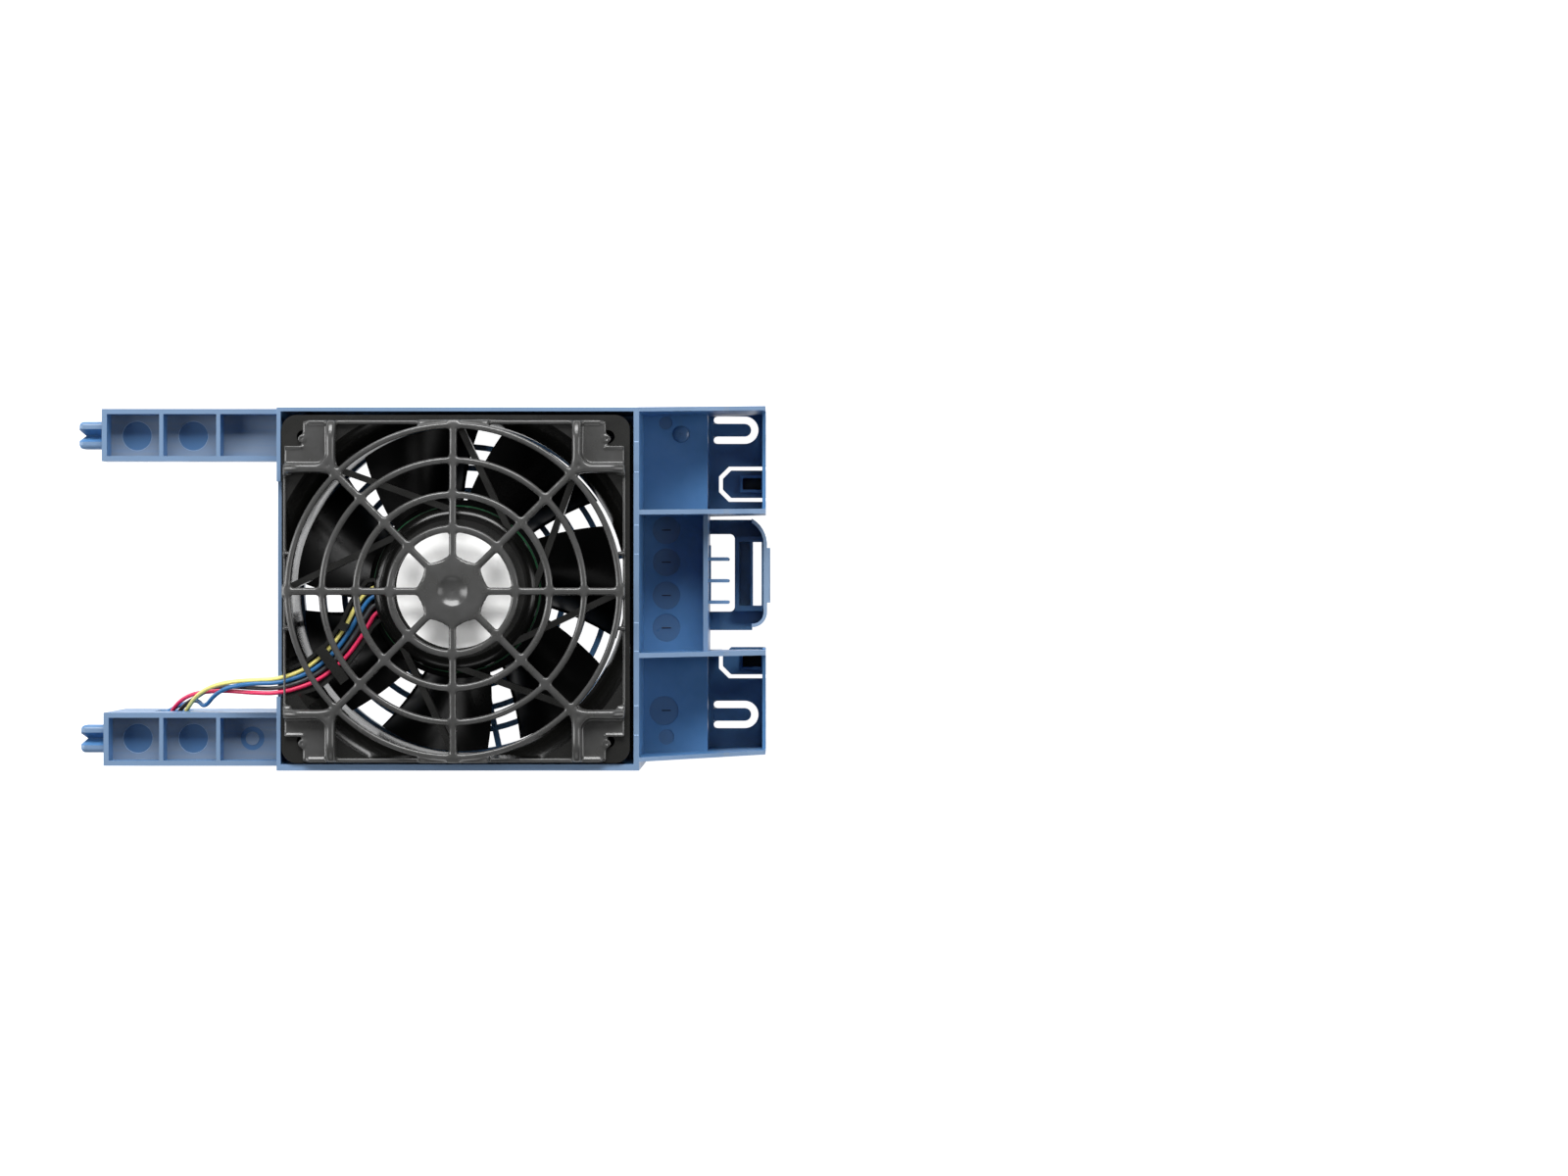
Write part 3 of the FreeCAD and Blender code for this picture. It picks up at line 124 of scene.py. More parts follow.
# %% [markdown]
# ## Moulded plastics
#
# Carrier, fan and guard are injection-moulded. The mould's walls were eroded by sparks, which leaves a fine
# grain, a few hundredths of a millimetre deep. It breaks up reflections, so a photograph shows satin and not
# gloss. Here that grain is a noise bump; a noise of some millimetres adds the slight flow clouds that moulded
# parts have in their colour and gloss. Faces that look up get a painted sheen: they are turned greyer with their
# height and more on the pockets' floors, standing for light scattered by the grain. It is a mix by height and by the
# face's direction; painting it by hand would look alike but fit one shape.


# %% Painted sheen on the faces that look up
HAZE_RISE_MM = 12.0  # how far above its start the haze is full
POCKET = 46.7  # height of the floors in the arms' pockets, in mm
POCKET_MARGIN = 0.6
STREAK_MM = 1.2


def painted_sheen_skin(tree, where, skin, haze, from_mm):
    """The skin's colour, turned towards the colour haze on faces that look up, a painted sheen: with their height,
    from nothing at from_mm to half of it HAZE_RISE_MM above, and more on the pockets' floors, in streaks drawn out
    along x."""
    spot = add(tree, "ShaderNodeSeparateXYZ", None, {"Vector": where.outputs["Object"]})
    facing = add(tree, "ShaderNodeSeparateXYZ", None, {"Vector": where.outputs["Normal"]})
    level = add(tree, "ShaderNodeMapRange", None,
                {"Value": spot.outputs["Z"], "From Min": from_mm * MM, "From Max": (from_mm + HAZE_RISE_MM) * MM,
                 "To Max": 0.5})
    in_pocket = add(tree, "ShaderNodeMath", {"operation": "COMPARE"})
    tree.links.new(spot.outputs["Z"], in_pocket.inputs[0])
    in_pocket.inputs[1].default_value = POCKET * MM
    in_pocket.inputs[2].default_value = POCKET_MARGIN * MM
    drawn = add(tree, "ShaderNodeMapping", None, {"Vector": where.outputs["Object"], "Scale": (0.06, 1.0, 1.0)})
    streak = add(tree, "ShaderNodeTexNoise", None,
                 {"Vector": drawn.outputs["Vector"], "Scale": 1000 / STREAK_MM, "Detail": 2.0})
    streak_sheen = add(tree, "ShaderNodeMapRange", None,
              {"Value": streak.outputs["Fac"], "From Min": 0.3, "From Max": 0.7, "To Min": 0.14, "To Max": 0.32})
    share = add(tree, "ShaderNodeMath", {"operation": "MULTIPLY_ADD"})
    tree.links.new(in_pocket.outputs[0], share.inputs[0])
    tree.links.new(streak_sheen.outputs["Result"], share.inputs[1])
    tree.links.new(level.outputs["Result"], share.inputs[2])
    upward = add(tree, "ShaderNodeMapRange", None,
                 {"Value": facing.outputs["Z"], "From Min": 0.6, "From Max": 0.95})
    sheened = add(tree, "ShaderNodeMath", {"operation": "MULTIPLY"})
    tree.links.new(share.outputs[0], sheened.inputs[0])
    tree.links.new(upward.outputs["Result"], sheened.inputs[1])
    # The painted sheen: the skin's colour mixed towards the haze colour.
    with_sheen = add(tree, "ShaderNodeMix", {"data_type": "RGBA"}, {"Factor": sheened.outputs[0]})
    tree.links.new(skin, with_sheen.inputs[6])
    with_sheen.inputs[7].default_value = linear(haze)
    return with_sheen.outputs[2]


print("rubbed floors at", POCKET, "mm")


# %% A moulded plastic
def moulded(name, colour, dark, roughness, grain_mm=0.25, grain_depth_mm=0.01, cloud_mm=14.0, gloss_swing=0.06,
            specular=0.5, haze=None, haze_from_mm=26.0):
    """A moulded plastic: colour clouds between colour and dark, roughness clouds, and a fine eroded grain.
    Noise scales are in cycles per metre, which is 1000 over the feature's size in mm. If haze is a colour, faces
    that look up get a painted sheen towards it from haze_from_mm up."""
    material, tree = empty_material(name)
    where = add(tree, "ShaderNodeTexCoord")
    cloud = add(tree, "ShaderNodeTexNoise", None,
                {"Vector": where.outputs["Object"], "Scale": 1000 / cloud_mm, "Detail": 3.0, "Roughness": 0.55})
    share = add(tree, "ShaderNodeMapRange", None,
                {"Value": cloud.outputs["Fac"], "From Min": 0.35, "From Max": 0.7})
    tint = add(tree, "ShaderNodeMix", {"data_type": "RGBA"},
               {"Factor": share.outputs["Result"]})
    tint.inputs[6].default_value = linear(colour)
    tint.inputs[7].default_value = linear(dark)
    skin = tint.outputs[2]
    if haze:
        skin = painted_sheen_skin(tree, where, skin, haze, haze_from_mm)
    gloss = add(tree, "ShaderNodeMapRange", None,
                {"Value": cloud.outputs["Fac"], "From Min": 0.3, "From Max": 0.7,
                 "To Min": roughness - gloss_swing, "To Max": roughness + gloss_swing})
    grain = add(tree, "ShaderNodeTexNoise", None,
                {"Vector": where.outputs["Object"], "Scale": 1000 / grain_mm, "Detail": 2.0})
    bump = add(tree, "ShaderNodeBump", None,
               {"Height": grain.outputs["Fac"], "Distance": grain_depth_mm * MM, "Strength": 1.0})
    shader = add(tree, "ShaderNodeBsdfPrincipled", None,
                 {"Base Color": skin, "Roughness": gloss.outputs["Result"],
                  "Normal": bump.outputs["Normal"], "IOR": 1.52, "Specular IOR Level": specular})
    add(tree, "ShaderNodeOutputMaterial", None, {"Surface": shader.outputs["BSDF"]})
    return material


# PC/ABS blend, dyed right through: mid blue, satin. Faces that look up get a painted sheen, greyer with height.
blue_pc_abs = moulded("blue_pc_abs_moulded", "#5280b0", "#4876a4", 0.36, grain_mm=0.3, specular=0.4, haze="#7b838c")
# The same plastic on the lever, painted a little lighter, with its painted sheen greyer and starting lower down.
blue_lever_sheen = moulded("blue_pc_abs_lever_painted_sheen", "#5c86b0", "#527ca6", 0.34, grain_mm=0.3, specular=0.4,
                       haze="#98a4b2", haze_from_mm=14.0)
# The ends of the ejector pins are polished, so the plastic copies them darker and smoother.
blue_polished = moulded("blue_pc_abs_ejector_faces", "#4a6d94", "#46688d", 0.32, grain_mm=0.5,
                        grain_depth_mm=0.003, cloud_mm=20.0)
# Where two mould inserts meet, the plastic stands up in a pale hair line.
# The same pale colour is a painted highlight on the lit rims of the arms' discs.
blue_pale_line_highlight = moulded("blue_pc_abs_pale_line_highlight", "#9db7d6", "#86a5cb", 0.45, grain_mm=0.2, grain_depth_mm=0.02,
                      cloud_mm=3.0)
# The bottom of a narrow slit gets no light, so the same plastic looks nearly black there.
blue_painted_shade = moulded("blue_pc_abs_slit_shade", "#14243a", "#101d30", 0.5, grain_mm=0.2, cloud_mm=3.0)
# Glass-filled PBT, as fan frames are: near black, a little glassy at a low angle.
black_pbt = moulded("black_pbt_glass_filled", "#232322", "#191918", 0.26, grain_mm=0.45, grain_depth_mm=0.014,
                    cloud_mm=9.0, gloss_swing=0.05)
# Where air is led, the same plastic comes from a polished part of the mould. It is also coloured darker than the
# frame: a painted shade.
black_smooth_painted_darker = moulded("black_pbt_polished_mouth_painted_darker", "#0d0d0c", "#090908", 0.2, grain_mm=0.8, grain_depth_mm=0.0008,
                       cloud_mm=22.0, gloss_swing=0.03, specular=0.35)
# The guard is a matt charcoal nylon with a grain that can be felt.
black_nylon = moulded("charcoal_nylon_guard", "#434343", "#393938", 0.24, grain_mm=0.5, grain_depth_mm=0.012,
                      cloud_mm=9.0)
# The impeller has a polished mould, so it reflects the lamps broadly.
black_blade = moulded("black_pbt_polished_blades", "#060606", "#040404", 0.3, grain_mm=0.6, grain_depth_mm=0.006,
                      cloud_mm=22.0, gloss_swing=0.04, specular=0.12)
# Natural nylon 66 of the connector: milky white.
white_nylon = moulded("natural_nylon_66", "#e6e2d6", "#dcd7c8", 0.45)
# Dark grey insulating frames on the stator's iron.
insulator_pbt = moulded("stator_insulator_pbt", "#2b2d30", "#232528", 0.5)
print("plastics", [m.name for m in bpy.data.materials])

# %% [markdown]
# ## Other finishes
#
# A few materials differ from plastic in kind: the label's film, the green circuit board, metals, and the
# wires' insulation. Metals keep their default index; their colour and roughness make them.


# %% Metals
def metal(name, colour, roughness, brushed_mm=0.4, swing=0.08):
    """A metal with fine tool marks: a noise, drawn out along x, swings its roughness about the given one."""
    material, tree = empty_material(name)
    where = add(tree, "ShaderNodeTexCoord")
    stretch = add(tree, "ShaderNodeMapping", None, {"Vector": where.outputs["Object"], "Scale": (0.1, 1.0, 1.0)})
    marks = add(tree, "ShaderNodeTexNoise", None,
                {"Vector": stretch.outputs["Vector"], "Scale": 1000 / brushed_mm, "Detail": 3.0})
    gloss = add(tree, "ShaderNodeMapRange", None,
                {"Value": marks.outputs["Fac"], "To Min": roughness - swing, "To Max": roughness + swing})
    bump = add(tree, "ShaderNodeBump", None,
               {"Height": marks.outputs["Fac"], "Distance": 0.004 * MM, "Strength": 1.0})
    shader = add(tree, "ShaderNodeBsdfPrincipled", None,
                 {"Base Color": linear(colour), "Metallic": 1.0, "Roughness": gloss.outputs["Result"],
                  "Normal": bump.outputs["Normal"]})
    add(tree, "ShaderNodeOutputMaterial", None, {"Surface": shader.outputs["BSDF"]})
    return material


turned_steel = metal("bearing_steel_ground", "#c8cbd0", 0.22)
zinc_steel = metal("zinc_plated_yoke_steel", "#a9adb3", 0.34)
silicon_steel = metal("silicon_steel_laminations", "#6f7276", 0.5, 0.35)
brass_turned = metal("brass_tube_turned", "#c7a55a", 0.3)
tinned_brass = metal("tinned_brass_contacts", "#cfcabd", 0.28)
copper_enamel = metal("enamelled_copper_wire", "#b5612f", 0.3, 0.35)
spring_steel = metal("spring_steel", "#9b9ea3", 0.3)
print("materials so far", len(bpy.data.materials))

# %% [markdown]
# The other small finishes are one principled shader each, with one texture that fits the thing: paper-like
# mottling under the label's film, solder mask over copper tracks, pitted ferrite, and the wires' insulation,
# which is extruded and so has a slight ripple along its length.


# %% Label, board, ferrite, insulation
def coated(name, colour, dark, roughness, scale_mm, bump_mm, coat=0.0, kind="ShaderNodeTexNoise"):
    """A coated or pressed surface: one noise of scale_mm moves the colour towards dark and raises a fine bump."""
    material, tree = empty_material(name)
    where = add(tree, "ShaderNodeTexCoord")
    spots = add(tree, kind, None, {"Vector": where.outputs["Object"], "Scale": 1000 / scale_mm})
    value = spots.outputs[0]
    tint = add(tree, "ShaderNodeMix", {"data_type": "RGBA"}, {"Factor": value})
    tint.inputs[6].default_value = linear(colour)
    tint.inputs[7].default_value = linear(dark)
    bump = add(tree, "ShaderNodeBump", None, {"Height": value, "Distance": bump_mm * MM, "Strength": 1.0})
    shader = add(tree, "ShaderNodeBsdfPrincipled", None,
                 {"Base Color": tint.outputs[2], "Roughness": roughness, "Normal": bump.outputs["Normal"],
                  "IOR": 1.5, "Coat Weight": coat, "Coat Roughness": 0.15})
    add(tree, "ShaderNodeOutputMaterial", None, {"Surface": shader.outputs["BSDF"]})
    return material


label_film = coated("white_polyester_label_film", "#ffffff", "#fafaf8", 0.35, 1.2, 0.004, coat=0.3)
solder_mask = coated("green_solder_mask", "#0f5530", "#0a3b20", 0.3, 1.6, 0.02, coat=0.5,
                     kind="ShaderNodeTexVoronoi")
ferrite = coated("sintered_ferrite", "#3a3836", "#2a2827", 0.6, 0.5, 0.02)
chip_epoxy = coated("black_epoxy_component", "#1c1c1d", "#242425", 0.45, 0.3, 0.008)
pvc_yellow = coated("wire_insulation_yellow", "#efe48a", "#e5d774", 0.36, 0.9, 0.012)
pvc_blue = coated("wire_insulation_blue", "#2a6da6", "#215b8f", 0.36, 0.9, 0.012)
pvc_grey = coated("wire_insulation_grey", "#3b3d40", "#2f3134", 0.36, 0.9, 0.012)
pvc_red = coated("wire_insulation_red", "#dd2f5f", "#c9244f", 0.36, 0.9, 0.012)
print("materials", len(bpy.data.materials))

# %% [markdown]
# ## The wires
#
# Four insulated wires of 1.5 mm leave the motor base, run down the channel in the slanted strut, pass under
# the guard's rim and hang in a loose twist to the lower arm, where they enter a hole and end at the connector.
# Each is a fixed length of something limp, so it is one smooth spline through a few chosen points, and never a
# chain of straight tubes. The points are the CAD route's own, but for the end of the blue wire, which the
# photograph shows dipping before it turns into the arm. A simulated cord would fall its own way, not this one.

# %% Wires
WIRE = 1.5
PINS = {"wire_blue": -106.81, "wire_red": -104.27, "wire_grey": -101.73, "wire_yellow": -99.19}
ROUTES = {
    "wire_yellow": (pvc_yellow, 32.2, [
        (-23.0, 1.9, 60.5), (-29.2, 1.2, 61.9), (-34.6, -5.0, 61.9), (-38.0, -12.3, 61.9), (-43.8, -20.6, 61.9),
        (-51.6, -27.4, 62.0), (-61.0, -31.2, 62.8), (-71.0, -31.5, 63.2), (-80.0, -32.3, 60.4),
        (-87.0, -34.3, 54.6), (-92.4, -37.6, 47.6), (-96.0, -41.0, 38.6)]),
    "wire_blue": (pvc_blue, 29.0, [
        (-23.0, -0.9, 60.5), (-28.9, -1.8, 61.9), (-33.3, -7.6, 61.9), (-36.6, -14.2, 61.9), (-42.2, -22.0, 61.9),
        (-50.5, -29.0, 62.0), (-61.0, -32.6, 62.8), (-70.0, -32.6, 63.8), (-78.6, -33.8, 61.8),
        (-84.6, -36.6, 55.6), (-89.4, -41.6, 47.4), (-93.0, -38.9, 39.6), (-97.4, -40.2, 32.8),
        (-102.6, -41.8, 29.2)]),
    "wire_grey": (pvc_grey, 31.4, [
        (-23.0, -3.7, 60.5), (-28.4, -4.7, 61.9), (-31.9, -10.2, 61.9), (-35.3, -16.1, 61.9), (-40.6, -23.4, 61.9),
        (-49.5, -30.6, 62.0), (-61.0, -34.5, 62.8), (-71.0, -34.3, 61.1), (-80.0, -33.8, 55.6),
        (-88.0, -35.0, 46.6), (-94.0, -38.4, 38.6), (-98.4, -40.8, 34.4)]),
    "wire_red": (pvc_red, 31.4, [
        (-23.0, -6.5, 60.5), (-27.8, -7.6, 61.9), (-30.6, -12.8, 61.9), (-33.9, -18.0, 61.9), (-39.0, -24.8, 61.9),
        (-48.4, -32.2, 62.0), (-61.0, -36.2, 62.8), (-71.0, -35.9, 62.6), (-80.0, -35.3, 57.4),
        (-88.0, -35.8, 49.2), (-95.0, -37.0, 42.0), (-100.5, -40.0, 36.2)]),
}


def wire(name, material, height, points):
    """One wire: a NURBS spline of order 3 whose control points are the route, with a round bevel of its radius."""
    pin = PINS[name]  # inside the arm, the wire turns down into its own pin of the connector
    end = [(pin, -44.8, height), (pin, -49.6, height - 2.6), (pin, -51.6, height - 7.2), (pin, -51.6, 18.5)]
    route = place(points + end)
    curve = bpy.data.curves.new("insulation_" + name[5:], "CURVE")
    curve.dimensions = "3D"
    curve.bevel_depth = WIRE / 2 * MM
    curve.bevel_resolution = 5
    curve.resolution_u = 16
    curve.use_fill_caps = True
    spline = curve.splines.new("NURBS")
    spline.points.add(len(route) - 1)
    spline.points.foreach_set("co", np.hstack([route, np.ones((len(route), 1))]).ravel())
    spline.order_u = 3
    spline.use_endpoint_u = True
    curve.materials.append(material)
    piece = bpy.data.objects.new("insulation_" + name[5:], curve)
    bpy.context.scene.collection.objects.link(piece)
    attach(piece, "carrier")
    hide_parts(name)
    return piece


wires = [wire(name, *facts) for name, facts in ROUTES.items()]
print("wires", [w.name for w in wires])

# %% [markdown]
# ## Floor, lamps and world
#
# The module lies on a sheet of white. A photographer lights such a set until the sheet is as white as paper;
# here the sheet is simply white to the camera's own rays and to what mirrors them, and a pale grey to all
# other light, so it still sends soft light back up and takes the shadow. The strongest softbox stands on the
# far side, as in the photograph, where the walls that face away from it are dark. Two at the sides draw the
# bright lines on the guard's bars, and weak ones above and on the near side open the shadows. A sun would light
# the same faces, but a point source leaves hard shadows that the photograph doesn't have.


# %% Floor
def white_sheet():
    """Pale floor: diffuse for all light, and seen by camera and mirror rays as nearly plain white with its shadow."""
    material, tree = empty_material("white_paper_sweep")
    path = add(tree, "ShaderNodeLightPath")
    seen = add(tree, "ShaderNodeMath", {"operation": "MAXIMUM"})
    tree.links.new(path.outputs["Is Camera Ray"], seen.inputs[0])
    tree.links.new(path.outputs["Is Glossy Ray"], seen.inputs[1])
    seen_too = add(tree, "ShaderNodeMath", {"operation": "MAXIMUM"})
    tree.links.new(seen.outputs[0], seen_too.inputs[0])
    tree.links.new(path.outputs["Is Transmission Ray"], seen_too.inputs[1])
    paper = add(tree, "ShaderNodeBsdfDiffuse", None, {"Color": linear("#9a9a9a")})
    glow = add(tree, "ShaderNodeEmission", None, {"Color": (1, 1, 1, 1), "Strength": 1.0})
    both = add(tree, "ShaderNodeAddShader")
    tree.links.new(paper.outputs[0], both.inputs[0])
    tree.links.new(glow.outputs[0], both.inputs[1])
    mix = add(tree, "ShaderNodeMixShader", None, {"Fac": seen_too.outputs[0]})
    tree.links.new(paper.outputs[0], mix.inputs[1])
    tree.links.new(both.outputs[0], mix.inputs[2])
    add(tree, "ShaderNodeOutputMaterial", None, {"Surface": mix.outputs[0]})
    return material


floor_mesh = bpy.data.meshes.new("floor")
floor_mesh.from_pydata([(-3, -3, 0), (3, -3, 0), (3, 3, 0), (-3, 3, 0)], [], [(0, 1, 2, 3)])
floor_mesh.materials.append(white_sheet())
floor = bpy.data.objects.new("floor", floor_mesh)
bpy.context.scene.collection.objects.link(floor)
print("floor at", floor.location.z)


# %% Lamps and world
def softbox(name, where, aim, width, height, watts):
    """A flat lamp of the given size in metres, turned so that it faces the point aim."""
    data = bpy.data.lights.new(name, "AREA")
    data.shape = "RECTANGLE"
    data.size = width
    data.size_y = height
    data.energy = watts
    lamp = bpy.data.objects.new(name, data)
    lamp.location = where
    direction = Vector(aim) - Vector(where)
    lamp.rotation_euler = direction.to_track_quat("-Z", "Y").to_euler()
    bpy.context.scene.collection.objects.link(lamp)
    return lamp


softbox("overhead_softbox", (0.1, 0.4, 2.0), (0, 0, 0), 0.9, 0.9, 0.8)
softbox("far_softbox", (0.0, 1.2, 1.05), (0, 0, 0.05), 1.5, 0.7, 42.0)
softbox("left_softbox", (-1.3, 0.1, 0.8), (0, 0, 0.05), 0.6, 1.2, 16.0)
softbox("right_softbox", (1.3, 0.0, 0.8), (0, 0, 0.05), 0.6, 1.2, 8.0)
softbox("near_softbox", (0.0, -1.3, 0.8), (0, 0, 0.05), 1.2, 0.6, 3.5)
world = bpy.data.worlds.new("studio")
world.use_nodes = True
sky = world.node_tree
sky.nodes.clear()
ray = add(sky, "ShaderNodeLightPath")
ambient = add(sky, "ShaderNodeBackground", None, {"Color": linear("#e3e6ea"), "Strength": 0.035})
white = add(sky, "ShaderNodeBackground", None, {"Color": (1, 1, 1, 1), "Strength": 1.0})
choice = add(sky, "ShaderNodeMixShader", None, {"Fac": ray.outputs["Is Camera Ray"]})
sky.links.new(ambient.outputs[0], choice.inputs[1])
sky.links.new(white.outputs[0], choice.inputs[2])
add(sky, "ShaderNodeOutputWorld", None, {"Surface": choice.outputs[0]})
bpy.context.scene.world = world
bpy.context.scene.view_settings.view_transform = "Standard"

# %% [markdown]
# ## Moulded parts whose CAD shape is right
#
# A mould is cut with rounded corners, and no plastic edge is truly sharp. The CAD solids are, and a sharp edge
# catches no light. Each such part is therefore a copy of its solid: doubled points merged, flat faces joined
# again, and every sharp edge given a small round by a Bevel modifier. A Weighted Normal modifier then keeps the
# large faces flat to the eye, so that only the round shades. Modelling each part anew would cost the exact fit
# for no gain.


# %% Copies with rounded edges
def rounded_copy(node, name, material, radius_mm, body, segments=2, angle=28.0):
    """A copy of a CAD solid with rounded edges. It replaces the solid and rides on the same body."""
    source = nodes[node]
    mesh = source.data.copy()
    mesh.name = name
    piece = bpy.data.objects.new(name, mesh)
    bpy.context.scene.collection.objects.link(piece)
    work = bmesh.new()
    work.from_mesh(mesh)
    bmesh.ops.remove_doubles(work, verts=work.verts, dist=1e-6)
    bmesh.ops.dissolve_limit(work, angle_limit=math.radians(0.5), verts=work.verts, edges=work.edges,
                             delimit={"NORMAL"})
    work.to_mesh(mesh)
    work.free()
    mesh.materials.clear()
    mesh.materials.append(material)
    mesh.shade_smooth()
    bevel = piece.modifiers.new("rounded_edges", "BEVEL")
    bevel.width = radius_mm * MM
    bevel.segments = segments
    bevel.limit_method = "ANGLE"
    bevel.angle_limit = math.radians(angle)
    bevel.use_clamp_overlap = True
    flat = piece.modifiers.new("flat_faces_stay_flat", "WEIGHTED_NORMAL")
    flat.weight = 60
    flat.keep_sharp = False
    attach(piece, body)
    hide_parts(node)
    return piece


COPIES = [
    ("carrier_frame", "carrier_moulding", blue_pc_abs, 0.35, "carrier"),
    ("release_lever", "lever_moulding", blue_lever_sheen, 0.35, "release_lever"),
    ("latch_finger_upper", "finger_moulding_upper", blue_pc_abs, 0.25, "latch_finger_upper"),
    ("latch_finger_lower", "finger_moulding_lower", blue_pc_abs, 0.25, "latch_finger_lower"),
    ("floor_spring_upper", "floor_tongue_upper", blue_pc_abs, 0.2, "floor_spring_upper"),
    ("floor_spring_lower", "floor_tongue_lower", blue_pc_abs, 0.2, "floor_spring_lower"),
    ("wall_spring_upper", "wall_tongue_upper", blue_pc_abs, 0.2, "wall_spring_upper"),
    ("wall_spring_lower", "wall_tongue_lower", blue_pc_abs, 0.2, "wall_spring_lower"),
    ("fan_housing", "housing_moulding", black_pbt, 0.3, "carrier"),
    ("connector_housing", "connector_moulding", white_nylon, 0.15, "carrier"),
]
for node, name, material, radius, body in COPIES:
    piece = rounded_copy(node, name, material, radius, body)
    print(name, len(piece.data.polygons), "faces")

# %% Deep grooves in the end tabs
TAB_START, GROOVE_FLOOR, GROOVE_DROP = -123.0, 49.6, 3.2
moulding = bpy.data.objects["carrier_moulding"].data
spots = np.empty(3 * len(moulding.vertices))
moulding.vertices.foreach_get("co", spots)
spots = spots.reshape(-1, 3)
in_tab = spots[:, 0] < place([TAB_START, 0, 0])[0]
bottom_of_groove = in_tab & (np.abs(spots[:, 2] - GROOVE_FLOOR * MM) < 0.2 * MM)
spots[bottom_of_groove, 2] -= GROOVE_DROP * MM
moulding.vertices.foreach_set("co", spots.ravel())
moulding.update()
print("groove points moved", int(bottom_of_groove.sum()))

# %% [markdown]
# ## Shapes worked out on grids
#
# Every new piece below is a grid of points: one parameter runs along the piece and the other round its
# section. A ring, a spoke and a blade then differ only in the arrays that are fed in. Extruding and cutting by
# hand would give the same shapes, but no numbers to change later.


# %% Bars, closed grids and a mesh from them
def bar(path, side, width, low, high, corner=0.6, steps=3):
    """A bar along a path of (n, 2) plan points. Its section is a rounded rectangle: sideways along side by half
    the width, and up from low to high. Each corner is a quarter circle of radius corner. All may change along
    the path."""
    quarter = np.linspace(0, np.pi / 2, steps + 1)
    turn = np.concatenate([quarter, quarter + np.pi / 2, quarter + np.pi, quarter + 1.5 * np.pi])
    sign_x = np.repeat([1, -1, -1, 1], steps + 1)
    up = np.repeat([1, 1, 0, 0], steps + 1)
    path, side = np.asarray(path, float), np.asarray(side, float)
    ones = np.ones(len(path))
    width, low, high = (np.asarray(value) * ones for value in (width, low, high))
    round_off = np.minimum(corner, np.minimum(width, high - low) * 0.49)[:, None]
    sideways = sign_x * (width[:, None] / 2 - round_off) + round_off * np.cos(turn)
    height = up * (high[:, None] - round_off) + (1 - up) * (low[:, None] + round_off) + round_off * np.sin(turn)
    plan = path[:, None, :] + sideways[:, :, None] * side[:, None, :]
    return np.concatenate([plan, height[:, :, None]], axis=2)


def grid_mesh(name, grids):
    """One mesh from closed grids. A grid is (points, looped): quads join each row to the next, and the last row to
    the first if looped; otherwise both end rows are closed by a face."""
    points, faces, start = [], [], 0
    for grid, looped in grids:
        rows, columns = grid.shape[:2]
        index = np.arange(rows * columns).reshape(rows, columns) + start
        following = np.roll(index, -1, axis=0) if looped else index[1:]
        first = index if looped else index[:-1]
        quads = np.stack([first, np.roll(first, -1, axis=1), np.roll(following, -1, axis=1), following], axis=2)
        faces += quads.reshape(-1, 4).tolist()
        if not looped:
            faces += [index[0, ::-1].tolist(), index[-1].tolist()]
        points.append(grid.reshape(-1, 3))
        start += rows * columns
    mesh = bpy.data.meshes.new(name)
    mesh.from_pydata(place(np.concatenate(points)), [], faces)
    work = bmesh.new()
    work.from_mesh(mesh)
    bmesh.ops.recalc_face_normals(work, faces=work.faces)
    work.to_mesh(mesh)
    work.free()
    mesh.shade_smooth()
    mesh.set_sharp_from_angle(angle=math.radians(40))
    return mesh


def stand_in(name, mesh, material, body, slot, *solids):
    """An object for the mesh, with its material; it rides on the body and stands for the named solids."""
    mesh.materials.append(material)
    piece = bpy.data.objects.new(name, mesh)
    bpy.context.scene.collection.objects.link(piece)
    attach(piece, body)
    if solids:
        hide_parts(*solids)
    return piece


def spoke_frame(angle):
    """The direction of a spoke and the one square to it, for an angle in degrees."""
    a = math.radians(angle)
    return np.array([math.cos(a), math.sin(a)]), np.array([-math.sin(a), math.cos(a)])


# %% [markdown]
# ## Finger guard
#
# The guard is one nylon moulding that snaps over the fan: four rings and eight spokes on a shallow dome, a
# dished hub, raised L ribs at the corners round a sunk pad, and a rim with small lips. Its bars melt into each
# other with a fillet at each crossing. Booleans and bevels fail on such a web, so the bars are made as plain
# overlapping grids, a voxel Remesh fuses them, and a light Smooth rounds all crossings alike.

# %% Measures and bars of the guard
FACE = 66.2  # front face of the fan, on which the guard stands
GUARD_SHIFT = np.array([-0.4, -0.8, 0.0])  # the guard sits a little off the fan's axis
EDGE = 59.0  # half the guard's width
RIM = 57.0  # the outermost ring's radius
RING_RADII = (21.5, 33.2, 45.0, RIM)
RING_WIDTHS = (2.7, 2.5, 2.35, 2.2)
BAR = 2.1  # depth of every bar
SPOKE_START, SPOKE_WIDTH, CORNER_REACH = 8.0, 2.6, 61.0
HUB_WEB, RING_WEB, RIM_WEB = 3.0, 3.9, 3.6  # how far the fillets reach at a crossing
DOME_RISE, DOME_FALL = 9.0, 2.7
DISH_RADIUS, DISH_DEPTH = 5.2, 1.5


def dome(radius):
    """Height of the guard's front: highest in the middle, and lower by DOME_FALL at the rim, falling with the square
    of the radius."""
    return FACE + DOME_RISE - DOME_FALL * (np.asarray(radius) / RIM) ** 2


def ring_bar(radius, width, low, high, corner=0.8, count=180):
    """A bar bent into a full circle of the given radius."""
    t = np.arange(count) * 2 * np.pi / count
    out = np.stack([np.cos(t), np.sin(t)], axis=1)
    return bar(radius * out, out, width, low, high, corner), True


